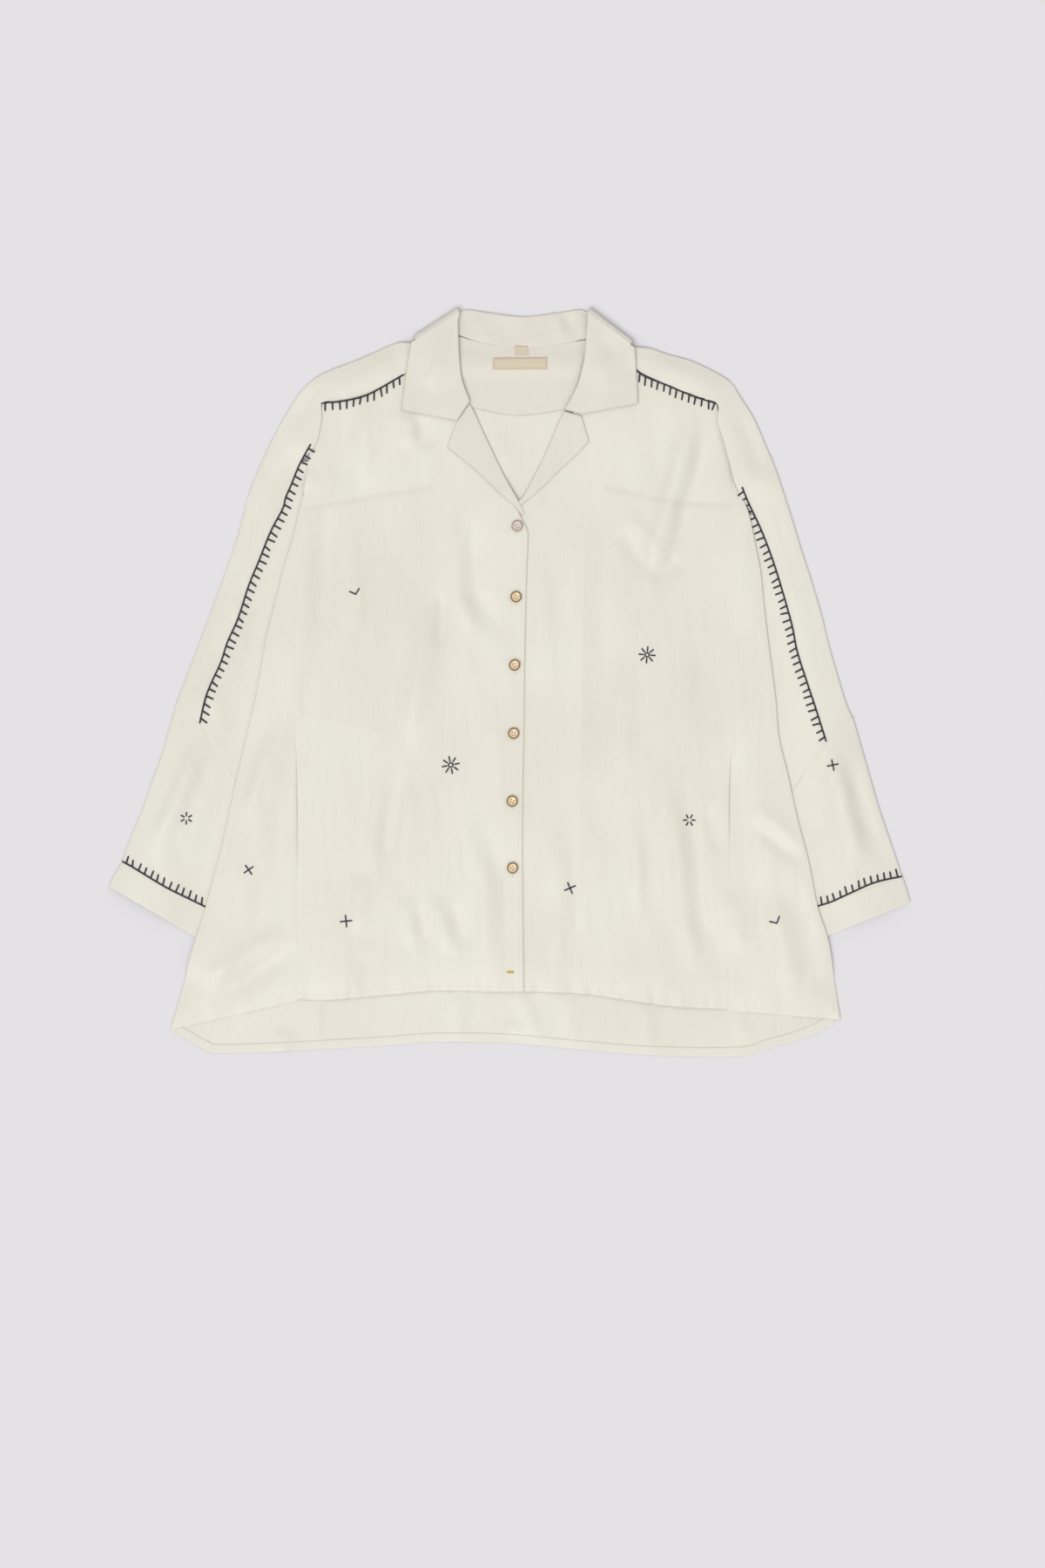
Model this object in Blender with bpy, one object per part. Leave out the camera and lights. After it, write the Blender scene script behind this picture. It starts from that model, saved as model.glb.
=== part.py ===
import math

import bpy
import numpy as np

# A loose silk shirt laid flat on its back, buttoned, with its long sleeves partly under its sides.
# The frame: X to the viewer's right, Y towards the collar, Z up from the surface it lies on.
# "right" and "left" in the names are the wearer's, so the right front is on the viewer's left.
# Tables are in millimetres in that frame and the mesh is in metres.

mm = 0.001
wall = 1.2  # a cloth wall
gap = 0.3  # between pieces at a seam
ply = wall + gap  # one layer on the next
front_gap = 3 * ply  # the fronts above the back
placket_raise = 1.8  # the right front above the left one, where it laps over
placket_edge = -9.0  # the hidden edge of the left front
outer_fold = 2.4  # between a sleeve's layers at its outer fold
tucked_fold = 1.8  # between a sleeve's layers where it is tucked under the body
sleeve_loft = front_gap - outer_fold
loft_run = 25.0  # how far a sleeve takes to rise from a fold
body_lift = tucked_fold + ply  # the body's side over the tucked sleeve
roll_fold = 2.0  # between the collar's fall and its stand
collar_lift = ply  # the back over the collar's fall
sleeve_run = 24.0  # how far the body takes to rise over a sleeve
collar_run = 16.0  # and over the collar's fall
strip_margin = 9.0  # how far a sleeve stays flat past the body's edge
lap_start = placket_edge - 26.0  # where the right front starts to rise over the left one
lap_run = 22.0
lap_top = 216.0  # the height at which the lap starts below the lapels
saddle_inset = 1.2  # the back's edge inside the saddle's stitched seam
front_inset = 0.8
under_gap = 2 * gap  # between the wedge under the sleeve and the seams at its ends
label_wall = 1.0
label_gap = 0.2
bend_share = 0.25  # the part of the collar's fall above its bend
settle_start = 5.0  # how far past the stand's edge the fall starts to settle
settle_run = 15.0
seat_gap = 0.55  # a button above the cloth
button_radius = 6.15
button_height = 2.6
hole_radius = 0.85
hole_spacing = 1.55
round_steps = 16

silk = (0.80, 0.77, 0.69)
collar_silk = (0.79, 0.74, 0.67)
label_tape = (0.83, 0.74, 0.59)
gold_button = (0.62, 0.42, 0.17)
shell_button = (0.55, 0.49, 0.40)

# The outer fold of each sleeve and its saddle, from the neck to the elbow, with the stitched seam that
# faces it across the sleeve.
upper_rows = {
    # seam x, seam y, fold x, fold y
    "right": [
        (-82.0, 352.5, -85.5, 382.5),
        (-98.0, 343.0, -96.5, 374.2),
        (-116.0, 333.0, -106.0, 368.5),
        (-130.0, 325.0, -121.0, 368.5),
        (-145.0, 316.0, -140.0, 361.0),
        (-163.0, 308.0, -165.0, 350.0),
        (-188.0, 304.0, -194.0, 339.0),
        (-204.0, 302.0, -213.0, 329.0),
        (-209.0, 284.0, -230.0, 312.0),
        (-217.0, 257.0, -249.0, 281.0),
        (-229.0, 235.0, -265.0, 250.0),
        (-245.0, 193.0, -283.0, 207.0),
        (-260.0, 162.0, -292.0, 174.0),
        (-274.0, 129.0, -302.0, 140.0),
        (-295.0, 68.0, -324.0, 79.0),
        (-314.0, 19.0, -342.0, 31.0),
        (-325.0, -3.0, -351.0, 7.0),
        (-337.0, -46.0, -363.0, -24.0),
    ],
    "left": [
        (107.0, 356.0, 112.5, 381.5),
        (124.0, 347.5, 124.5, 372.0),
        (139.0, 338.0, 135.5, 364.0),
        (155.0, 330.0, 153.0, 362.5),
        (172.0, 322.0, 170.0, 356.5),
        (202.0, 309.0, 202.0, 347.0),
        (227.0, 302.0, 238.0, 328.0),
        (232.0, 284.0, 252.0, 309.0),
        (239.0, 265.0, 267.0, 285.0),
        (248.0, 235.0, 281.0, 253.0),
        (254.0, 210.0, 292.0, 226.0),
        (275.0, 164.0, 309.0, 174.0),
        (287.0, 132.0, 318.0, 144.0),
        (297.0, 98.0, 329.0, 110.0),
        (308.0, 60.0, 341.0, 70.0),
        (314.0, 32.0, 348.0, 40.0),
        (332.0, -27.0, 366.0, -21.0),
        (345.0, -66.0, 375.0, -42.0),
    ],
}

# The wedge below the stitched seam, down to the pointed elbow seam, with the fold that is tucked under
# the body.
under_rows = {
    # seam x, seam y, tucked fold x, tucked fold y
    "right": [
        (-227.0, 239.0, -221.0, 238.0),
        (-238.0, 212.0, -226.0, 212.0),
        (-247.0, 188.0, -224.0, 183.0),
        (-260.0, 162.0, -222.0, 150.0),
        (-274.0, 129.0, -222.0, 112.0),
        (-283.0, 103.0, -225.0, 82.0),
        (-295.0, 68.0, -230.0, 42.0),
        (-314.0, 19.0, -240.0, -14.0),
        (-325.0, -3.0, -248.0, -56.0),
        (-330.0, -21.0, -258.0, -100.0),
        (-337.0, -46.0, -272.0, -156.0),
    ],
    "left": [
        (266.0, 182.0, 259.0, 179.0),
        (275.0, 164.0, 260.0, 158.0),
        (287.0, 132.0, 258.0, 120.0),
        (297.0, 98.0, 252.0, 80.0),
        (308.0, 60.0, 250.0, 40.0),
        (314.0, 32.0, 251.0, 8.0),
        (323.0, 1.0, 253.0, -36.0),
        (332.0, -27.0, 258.0, -76.0),
        (339.0, -47.0, 269.0, -120.0),
        (345.0, -66.0, 281.0, -165.0),
    ],
}

# The lower sleeve from the elbow seam, which points down its middle, to the cuff.
lower_rows = {
    # fold x, fold y, middle x, middle y, tucked fold x, tucked fold y
    "right": [
        (-363.0, -24.0, -337.0, -46.0, -272.0, -156.0),
        (-378.0, -77.0, -343.0, -99.0, -278.0, -182.0),
        (-390.0, -111.0, -351.0, -137.0, -283.0, -204.0),
        (-400.0, -140.0, -361.0, -168.0, -288.0, -224.0),
        (-413.0, -171.0, -372.0, -196.0, -293.0, -246.0),
        (-422.0, -197.0, -380.0, -220.0, -297.0, -266.0),
    ],
    "left": [
        (375.0, -42.0, 345.0, -66.0, 281.0, -165.0),
        (390.0, -94.0, 353.0, -117.0, 284.0, -186.0),
        (400.0, -129.0, 361.0, -151.0, 287.0, -206.0),
        (409.0, -157.0, 368.0, -178.0, 290.0, -225.0),
        (418.0, -183.0, 375.0, -203.0, 293.0, -243.0),
        (428.0, -213.0, 382.0, -229.0, 295.0, -261.0),
    ],
}
cuff_rows = {
    # fold x, fold y, middle x, middle y, tucked fold x, tucked fold y
    "right": [
        (-422.0, -197.0, -380.0, -220.0, -297.0, -266.0),
        (-430.0, -210.0, -389.0, -233.0, -306.0, -281.0),
        (-437.0, -224.0, -396.0, -247.0, -314.0, -296.0),
    ],
    "left": [
        (428.0, -213.0, 382.0, -229.0, 295.0, -261.0),
        (433.0, -227.0, 387.0, -244.0, 300.0, -278.0),
        (437.0, -241.0, 393.0, -259.0, 305.0, -295.0),
    ],
}

# The side panels, from the front seam round the body's edge to the back seam.
side_rows = {
    # front seam x, front seam y, edge x, edge y, back seam x, back seam y
    "right": [
        (-232.0, 150.0, -238.0, 150.0, -228.0, 150.0),
        (-231.5, 128.0, -245.0, 127.0, -221.0, 128.0),
        (-232.0, 90.0, -255.0, 88.0, -222.0, 84.0),
        (-232.5, 44.0, -266.0, 42.0, -229.0, 42.0),
        (-233.0, -10.0, -276.0, -14.0, -238.0, -14.0),
        (-233.0, -62.0, -289.0, -70.0, -250.0, -70.0),
        (-233.0, -112.0, -300.0, -118.0, -262.0, -118.0),
        (-232.5, -160.0, -311.0, -169.0, -274.0, -169.0),
        (-232.0, -204.0, -323.0, -216.0, -285.0, -216.0),
        (-232.0, -244.0, -335.0, -259.0, -297.0, -264.0),
        (-231.5, -282.0, -346.0, -293.0, -308.0, -304.0),
        (-231.5, -316.0, -357.0, -336.0, -319.0, -350.0),
        (-231.0, -347.5, -370.0, -380.5, -331.0, -403.0),
    ],
    "left": [
        (239.5, 250.0, 243.5, 244.0, 237.5, 244.0),
        (242.5, 212.0, 252.0, 209.0, 246.0, 209.0),
        (244.0, 182.0, 261.5, 180.0, 255.0, 180.0),
        (244.0, 150.0, 268.0, 149.0, 258.0, 150.0),
        (244.0, 118.0, 274.0, 118.0, 258.0, 118.0),
        (243.5, 80.0, 278.0, 77.0, 252.0, 78.0),
        (243.0, 40.0, 283.0, 36.0, 249.0, 36.0),
        (242.5, -6.0, 290.0, -18.0, 252.0, -18.0),
        (242.0, -54.0, 294.0, -62.0, 256.0, -66.0),
        (241.5, -100.0, 304.0, -104.0, 266.0, -110.0),
        (241.0, -146.0, 314.0, -150.0, 277.0, -152.0),
        (240.5, -192.0, 326.0, -196.0, 286.0, -200.0),
        (240.0, -238.0, 336.0, -246.0, 293.0, -250.0),
        (239.5, -284.0, 348.0, -284.0, 302.0, -292.0),
        (239.0, -326.0, 355.0, -331.0, 314.0, -344.0),
        (238.5, -359.0, 361.0, -369.5, 325.0, -388.0),
    ],
}

# Lapels: from the roll line out to the lapel's edge, gorge to break.
lapel_rows = {
    # roll x, roll y, edge x, edge y, depth tucked inside
    "right": [
        (-43.5, 302.5, -57.5, 281.5, 10.0),
        (-37.0, 290.0, -68.0, 254.0, 16.0),
        (-28.0, 270.0, -53.0, 242.0, 18.0),
        (-18.0, 249.0, -37.0, 229.0, 18.0),
        (-8.0, 228.0, -22.0, 214.5, 14.0),
        (2.0, 209.5, -7.0, 200.0, 9.0),
        (9.0, 197.0, 3.0, 191.0, 6.0),
    ],
    "left": [
        (59.5, 293.5, 78.5, 288.5, 12.0),
        (53.0, 280.0, 87.0, 260.0, 18.0),
        (45.0, 261.0, 72.0, 244.5, 18.0),
        (36.0, 241.0, 54.0, 228.0, 16.0),
        (27.0, 223.5, 40.5, 214.0, 12.0),
        (20.0, 210.0, 29.0, 204.0, 8.0),
        (14.5, 200.5, 21.5, 197.5, 6.0),
    ],
}

# The collar: its roll line, the edge of its fall, where a row bends, how far it has turned over the
# shoulder (0 in front, 180 behind), its stand and how far its fall has settled on what it covers. Rows
# that share a place go round the shoulder's fold.
collar_rows = [
    # roll x, roll y, edge x, edge y, bend x, bend y, turn, stand, settle
    (-43.0, 304.0, -118.0, 294.0, -57.0, 283.0, 0, 9.0, 1.0),
    (-51.5, 328.0, -115.0, 318.0, None, None, 0, 17.0, 1.0),
    (-54.5, 352.0, -112.0, 341.0, None, None, 0, 22.0, 1.0),
    (-55.5, 374.0, -109.0, 358.0, None, None, 0, 25.0, 0.6),
    (-56.0, 391.0, -107.0, 368.0, None, None, 0, 27.0, 0.2),
    (-57.0, 408.0, -105.0, 376.0, None, None, 0, 28.0, 0.0),
    (-57.0, 408.0, -105.0, 376.0, None, None, 45, 28.0, 0.0),
    (-57.0, 408.0, -105.0, 376.0, None, None, 90, 28.0, 0.0),
    (-57.0, 408.0, -105.0, 376.0, None, None, 135, 28.0, 0.0),
    (-57.0, 408.0, -105.0, 376.0, None, None, 180, 28.0, 0.0),
    (-45.0, 404.5, -70.0, 358.0, None, None, 180, 25.0, 0.0),
    (-22.0, 401.0, -34.0, 353.0, None, None, 180, 28.0, 0.0),
    (15.0, 397.0, 13.0, 350.0, None, None, 180, 28.5, 0.0),
    (52.0, 401.0, 62.0, 353.0, None, None, 180, 29.0, 0.0),
    (75.0, 404.5, 100.0, 358.0, None, None, 180, 28.0, 0.0),
    (88.0, 408.0, 135.0, 371.0, None, None, 180, 29.0, 0.0),
    (88.0, 408.0, 135.0, 371.0, None, None, 135, 29.0, 0.0),
    (88.0, 408.0, 135.0, 371.0, None, None, 90, 29.0, 0.0),
    (88.0, 408.0, 135.0, 371.0, None, None, 45, 29.0, 0.0),
    (88.0, 408.0, 135.0, 371.0, None, None, 0, 29.0, 0.0),
    (85.0, 392.0, 136.5, 362.0, None, None, 0, 27.0, 0.2),
    (83.5, 373.0, 137.5, 349.0, None, None, 0, 25.0, 0.6),
    (81.0, 349.0, 138.5, 333.0, None, None, 0, 22.0, 1.0),
    (73.5, 321.0, 139.5, 316.0, None, None, 0, 17.0, 1.0),
    (60.0, 295.0, 140.0, 301.0, 79.0, 290.0, 0, 9.0, 1.0),
]

# The largest folds of the front layers: a line from one end to the other, its half width and height.
front_folds = [
    # from x, from y, to x, to y, half width, height
    (212.0, 288.0, 170.0, 112.0, 15.0, 2.2),
    (128.0, 148.0, 154.0, 112.0, 12.0, 1.3),
    (88.0, 150.0, 90.0, -100.0, 17.0, 1.5),
    (150.0, -165.0, 158.0, -258.0, 15.0, 1.4),
    (184.0, -116.0, 200.0, -320.0, 15.0, 1.8),
    (222.0, -144.0, 236.0, -290.0, 13.0, 1.2),
    (266.0, -158.0, 300.0, -190.0, 13.0, 1.4),
    (309.0, -222.0, 326.0, -332.0, 14.0, 1.6),
    (-60.0, 172.0, -48.0, 98.0, 16.0, 1.4),
    (-97.0, 60.0, -110.0, -64.0, 16.0, 1.7),
    (-134.0, -111.0, -150.0, -210.0, 15.0, 1.5),
    (-106.0, -248.0, -92.0, -288.0, 13.0, 1.1),
    (-36.0, -162.0, -10.0, -280.0, 15.0, 1.4),
    (-160.0, -300.0, -164.0, -344.0, 12.0, 1.0),
    (-238.0, -290.0, -320.0, -348.0, 15.0, 1.8),
    (-244.0, -48.0, -292.0, -150.0, 14.0, 1.3),
    (-98.0, 277.0, -96.0, 262.0, 12.0, 1.0),
]
sleeve_folds = [
    # from x, from y, to x, to y, half width, height
    (-330.0, -86.0, -371.0, -186.0, 14.0, 2.0),
    (-236.0, 300.0, -252.0, 258.0, 13.0, 1.2),
    (-330.0, 20.0, -345.0, -10.0, 13.0, 1.0),
    (366.0, -100.0, 388.0, -190.0, 14.0, 1.6),
    (262.0, 268.0, 284.0, 214.0, 13.0, 1.1),
]

neck_line = [(-57.0, 375.5), (-30.0, 369.0), (11.0, 363.5), (52.0, 367.5), (86.0, 371.5)]
back_hem = [
    (-329.5, -403.5), (-315.0, -406.0), (-252.0, -404.0), (-144.0, -398.0), (-78.0, -393.5),
    (2.0, -395.0), (78.0, -402.0), (154.0, -408.0), (250.0, -409.0), (281.0, -401.0), (323.5, -388.5),
]
hem_band_depth = 9.5
facing_depth = 73.0

# The right front's inner edge: under the collar, down the roll line, then the front edge.
front_inner = {
    "right": [
        (-81.0, 351.5), (-74.0, 325.0), (-62.0, 304.0), (-48.0, 299.0), (-32.0, 267.0),
        (-12.5, 225.0), (5.0, 194.0), (13.0, 178.0), (20.0, 163.0), (20.5, 149.0), (19.0, 117.0),
        (17.0, 25.0), (16.0, -57.0), (14.5, -178.0), (16.0, -339.0),
    ],
    "left": [
        (106.0, 355.0), (97.0, 322.0), (82.0, 302.0), (64.0, 288.5), (49.5, 258.0),
        (31.0, 220.5), (19.0, 197.0), (2.0, 184.0), (-6.0, 174.0), (placket_edge, 160.0),
        (placket_edge, 40.0), (placket_edge, -120.0), (placket_edge, -338.0),
    ],
}
front_outer = {
    "right": [
        (-204.0, 301.5), (-210.0, 276.0), (-216.5, 257.0), (-223.5, 210.0), (-229.0, 180.0),
        (-231.0, 150.0), (-232.0, 60.0), (-232.5, -60.0), (-231.5, -226.0), (-230.5, -347.5),
    ],
    "left": [
        (226.0, 301.0), (231.0, 278.0), (237.5, 262.0), (239.0, 250.0), (242.0, 212.0), (243.3, 182.0),
        (243.3, 118.0), (242.8, 80.0), (241.4, -66.0), (239.4, -223.0), (238.0, -359.0),
    ],
}
front_hem = {
    "right": [
        (16.0, -339.0), (-4.0, -340.0), (-78.0, -339.0), (-131.0, -343.0), (-199.0, -349.0), (-230.5, -347.5),
    ],
    "left": [
        (placket_edge, -338.0), (16.0, -339.5), (78.0, -342.0),
        (129.0, -349.0), (180.0, -356.0), (238.0, -359.0),
    ],
}
back_side = {
    "right": [
        (-202.0, 300.0), (-208.0, 276.0), (-213.0, 257.0), (-219.0, 213.0), (-220.0, 176.0), (-218.0, 128.0),
        (-220.0, 84.0), (-227.0, 42.0), (-236.0, -14.0), (-248.0, -70.0), (-260.0, -118.0),
        (-272.0, -169.0), (-283.0, -216.0), (-295.0, -264.0), (-306.0, -304.0), (-317.0, -350.0),
        (-329.5, -403.5),
    ],
    "left": [
        (225.0, 300.0), (229.0, 280.0), (234.0, 263.0), (236.0, 244.0), (244.0, 209.0), (253.0, 180.0),
        (256.0, 150.0), (256.0, 118.0), (250.0, 78.0), (247.0, 36.0), (250.0, -18.0), (252.5, -66.0),
        (263.0, -110.0), (275.0, -152.0), (284.0, -200.0), (291.0, -250.0), (300.0, -292.0),
        (312.0, -344.0), (323.5, -388.5),
    ],
}

pocket_bags = {
    # top x, top y, low x, low y
    "right": [
        (-229.0, -34.0, -229.0, -232.0),
        (-182.0, -44.0, -182.0, -226.0),
        (-135.0, -54.0, -135.0, -212.0),
        (-110.0, -84.0, -110.0, -196.0),
        (-80.0, -121.0, -80.0, -170.0),
    ],
    "left": [
        (238.0, -28.0, 236.0, -226.0),
        (190.0, -40.0, 190.0, -220.0),
        (142.0, -54.0, 142.0, -206.0),
        (118.0, -82.0, 118.0, -190.0),
        (90.0, -119.0, 90.0, -164.0),
    ],
}

label_corners = [(-18.0, 351.5), (41.0, 352.0), (-18.0, 338.5), (41.0, 339.0)]
tab_corners = [(6.0, 365.0), (20.0, 364.5), (6.5, 355.0), (20.0, 354.5)]
button_centres = [(8.3, 168.2), (7.2, 91.2), (5.6, 16.8), (4.6, -57.5), (3.0, -131.4), (3.4, -204.1)]

# The stretch of each sleeve that the body lies over: the body's edge down, then the tucked fold up.
tucked_strip = {
    "right": [
        (-223.0, 214.0), (-231.0, 174.0), (-246.0, 124.0), (-266.0, 42.0), (-276.0, -14.0), (-300.0, -118.0),
        (-323.0, -216.0), (-350.0, -302.0), (-320.0, -316.0), (-297.0, -266.0), (-283.0, -204.0),
        (-272.0, -156.0), (-258.0, -100.0), (-240.0, -14.0), (-230.0, 42.0),
        (-222.0, 112.0), (-221.0, 150.0), (-223.0, 183.0),
    ],
    "left": [
        (262.0, 184.0), (273.0, 129.0), (282.0, 42.0), (292.0, -44.0), (311.0, -123.0), (326.0, -196.0),
        (352.0, -302.0), (311.0, -318.0), (295.0, -261.0), (281.0, -165.0), (269.0, -120.0), (258.0, -76.0),
        (251.0, 8.0), (249.0, 40.0), (251.0, 80.0), (257.0, 120.0), (258.5, 158.0),
    ],
}
collar_fall = [
    (-57.0, 410.0), (-113.0, 376.0), (-110.0, 356.0), (-90.0, 338.0), (-34.0, 343.0), (13.0, 342.0),
    (62.0, 343.0), (116.0, 340.0), (141.0, 352.0), (143.0, 372.0), (88.0, 410.0),
]


def ease(t):
    """A smooth step from 0 to 1."""
    t = min(1.0, max(0.0, t))
    return t * t * (3.0 - 2.0 * t)


def distance_to_line(x, y, points):
    """How far a place is from a line through points."""
    best = math.inf
    for (ax, ay), (bx, by) in zip(points[:-1], points[1:]):
        dx = bx - ax
        dy = by - ay
        t = ((x - ax) * dx + (y - ay) * dy) / max(dx * dx + dy * dy, 1e-9)
        t = min(1.0, max(0.0, t))
        best = min(best, math.hypot(x - ax - t * dx, y - ay - t * dy))
    return best


def distance_to_area(x, y, corners):
    """How far a place is from an area, 0 inside it."""
    inside = False
    for (ax, ay), (bx, by) in zip(corners, corners[1:] + corners[:1]):
        if (ay > y) != (by > y) and x < (bx - ax) * (y - ay) / (by - ay) + ax:
            inside = not inside
    return 0.0 if inside else distance_to_line(x, y, corners + corners[:1])


def fold_height(x, y, folds):
    """The rise of the cloth over its largest folds, which fade out at their ends."""
    rise = 0.0
    for ax, ay, bx, by, half_width, height in folds:
        length = math.hypot(bx - ax, by - ay)
        run = ((x - ax) * (bx - ax) + (y - ay) * (by - ay)) / length
        across = abs((x - ax) * (by - ay) - (y - ay) * (bx - ax)) / length
        past = max(0.0, -run, run - length)
        fade = ease(1.0 - past / (2.0 * half_width))
        rise = max(rise, height * ease(1.0 - across / (2.0 * half_width)) * fade)
    return rise


def back_level(x, y):
    """The middle of the lowest body layer, which rises over the tucked sleeves and the collar's fall."""
    over_sleeve = min(distance_to_area(x, y, strip) for strip in tucked_strip.values())
    over_collar = distance_to_area(x, y, collar_fall)
    sleeve_rise = body_lift * ease(1.0 - over_sleeve / sleeve_run)
    collar_rise = collar_lift * ease(1.0 - over_collar / collar_run)
    return wall / 2 + max(sleeve_rise, collar_rise)


def front_level(x, y):
    """The middle of the front layer."""
    return back_level(x, y) + front_gap + fold_height(x, y, front_folds)


def right_front_level(x, y):
    """The right front, which laps over the left one along the buttons."""
    lap = ease((x - lap_start) / lap_run) * ease((lap_top - y) / 20.0)
    return front_level(x, y) + placket_raise * lap


def front_under(side):
    return right_front_level if side == "right" else front_level


def sleeve_back_level(x, y):
    """A sleeve's lower layer, on the surface apart from where the collar's fall is under it."""
    return wall / 2 + collar_lift * ease(1.0 - distance_to_area(x, y, collar_fall) / collar_run)


def sleeve_front_level(side):
    """A sleeve's upper layer: flat where the body covers it, and lofted between there and its fold."""
    fold = [row[2:4] for row in upper_rows[side]] + [row[0:2] for row in lower_rows[side][1:]]
    fold = fold + [cuff_rows[side][-1][0:2]]
    strip = tucked_strip[side]

    def level(x, y):
        free = ease((distance_to_area(x, y, strip) - strip_margin) / loft_run)
        rise = sleeve_loft * ease(distance_to_line(x, y, fold) / loft_run)
        over = outer_fold - tucked_fold + rise + fold_height(x, y, sleeve_folds)
        return sleeve_back_level(x, y) + tucked_fold + over * free

    return level


def along(points, fraction):
    """The place at a fraction of the length of a line through points."""
    points = np.array(points, float)
    steps = np.linalg.norm(np.diff(points, axis=0), axis=1)
    run = np.concatenate([[0.0], np.cumsum(steps)])
    at = fraction * run[-1]
    return np.array([np.interp(at, run, points[:, k]) for k in range(points.shape[1])])


def fill_outline(top, bottom, left, right, across, down):
    """Rows of places that fill an outline of four lines, at given fractions across and down."""
    ends = ((top, 0), (top, -1), (bottom, 0), (bottom, -1))
    corner = [np.array(line[end], float) for line, end in ends]
    rows = []
    for v in down:
        row = []
        for u in across:
            from_ends = (1 - v) * along(top, u) + v * along(bottom, u)
            from_sides = (1 - u) * along(left, v) + u * along(right, v)
            top_corners = (1 - u) * corner[0] + u * corner[1]
            low_corners = (1 - u) * corner[2] + u * corner[3]
            row.append(from_ends + from_sides - (1 - v) * top_corners - v * low_corners)
        rows.append(row)
    return rows


face_up = (0.0, 0.0, 1.0)
face_down = (0.0, 0.0, -1.0)


def lay(rows, level):
    """Places in plan raised to a level, each with the direction that its outer side faces."""
    return [[(x, y, level(x, y), *face_up) for x, y in row] for row in rows]


def at_corners(lines, extra, apart=0.012):
    """The fractions along some lines at which their points lie, with some others, and none too close."""
    fractions = []
    for line in lines:
        points = np.array(line, float)
        run = np.concatenate([[0.0], np.cumsum(np.linalg.norm(np.diff(points, axis=0), axis=1))])
        fractions += [float(f) for f in run / run[-1]]
    for f in extra:
        if all(abs(f - other) > apart for other in fractions):
            fractions.append(f)
    return sorted(set(fractions))


def between(start, end, count, skip_first=False):
    """Places from one to another, evenly."""
    first = 1 if skip_first else 0
    return [start + (end - start) * k / count for k in range(first, count + 1)]


def turned_row(seam, fold, back, top_level, low_level, flats, arc_steps):
    """A section that runs from a seam to a fold on top and back below it, with a round fold."""
    seam, fold, back = (np.array(p, float) for p in (seam, fold, back))
    outward = (fold - seam) / np.linalg.norm(fold - seam)
    near = fold - outward * 2.0
    radius = (top_level(*near) - low_level(*near)) / 2
    centre = fold - outward * (radius + wall / 2)
    radius = (top_level(*centre) - low_level(*centre)) / 2
    section = [(x, y, top_level(x, y), *face_up) for x, y in between(seam, centre, flats[0])]
    middle = low_level(*centre) + radius
    for k in range(1, arc_steps):
        angle = math.pi * k / arc_steps
        out = outward * math.sin(angle)
        x, y = centre + out * radius
        section.append((x, y, middle + radius * math.cos(angle), *out, math.cos(angle)))
    section += [(x, y, low_level(x, y), *face_down) for x, y in between(centre, back, flats[1])]
    return section


def make_material(name, colour, roughness, metallic=0.0):
    if name in bpy.data.materials:
        return bpy.data.materials[name]
    material = bpy.data.materials.new(name)
    material.use_nodes = True
    shader = material.node_tree.nodes["Principled BSDF"]
    shader.inputs["Base Color"].default_value = (*colour, 1.0)
    shader.inputs["Roughness"].default_value = roughness
    shader.inputs["Metallic"].default_value = metallic
    return material


def add_mesh(name, points, faces, material):
    mesh = bpy.data.meshes.new(name)
    mesh.from_pydata([tuple(np.array(p) * mm) for p in points], [], faces)
    mesh.validate()
    mesh.materials.append(material)
    mesh.shade_smooth()
    mesh.set_sharp_from_angle(angle=math.radians(40))
    part = bpy.data.objects.new(name, mesh)
    bpy.context.collection.objects.link(part)
    return part


def add_cloth(name, rows, material, thickness=wall, closed=False):
    """A cloth wall of even thickness around rows of places, as one closed solid.

    Each place is x, y, z and the direction of the wall's outer side. A closed row is a tube.
    """
    grid = np.array(rows, float)
    count, width = grid.shape[:2]
    outer = grid[:, :, :3] + grid[:, :, 3:] * thickness / 2
    inner = grid[:, :, :3] - grid[:, :, 3:] * thickness / 2
    points = np.concatenate([outer.reshape(-1, 3), inner.reshape(-1, 3)])
    below = count * width
    spans = width if closed else width - 1
    faces = []
    for i in range(count - 1):
        for j in range(spans):
            a = i * width + j
            b = i * width + (j + 1) % width
            for face in ((a, a + width, b + width), (a, b + width, b)):
                faces.append(face)
                faces.append(tuple(below + k for k in face[::-1]))
    for j in range(spans):
        b = (j + 1) % width
        last = (count - 1) * width
        faces.append((j, b, below + b, below + j))
        faces.append((last + b, last + j, below + last + j, below + last + b))
    if not closed:
        for i in range(count - 1):
            a, b = i * width, (i + 1) * width
            faces.append((b, a, below + a, below + b))
            faces.append((a + width - 1, b + width - 1, below + b + width - 1, below + a + width - 1))
    return add_mesh(name, points, faces, material)


def mirrored(rows, side):
    """Rows of the wearer's left pieces run the other way, so that each wall faces out."""
    return rows if side == "right" else [row[::-1] for row in rows]


def build_sleeve_upper(side, material):
    top = sleeve_front_level(side)
    rows = []
    for seam_x, seam_y, fold_x, fold_y in upper_rows[side]:
        seam = (seam_x, seam_y)
        rows.append(turned_row(seam, (fold_x, fold_y), seam, top, sleeve_back_level, (5, 3), 4))
    add_cloth(f"sleeve_upper_{side}", mirrored([row[::-1] for row in rows], side), material)


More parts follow.
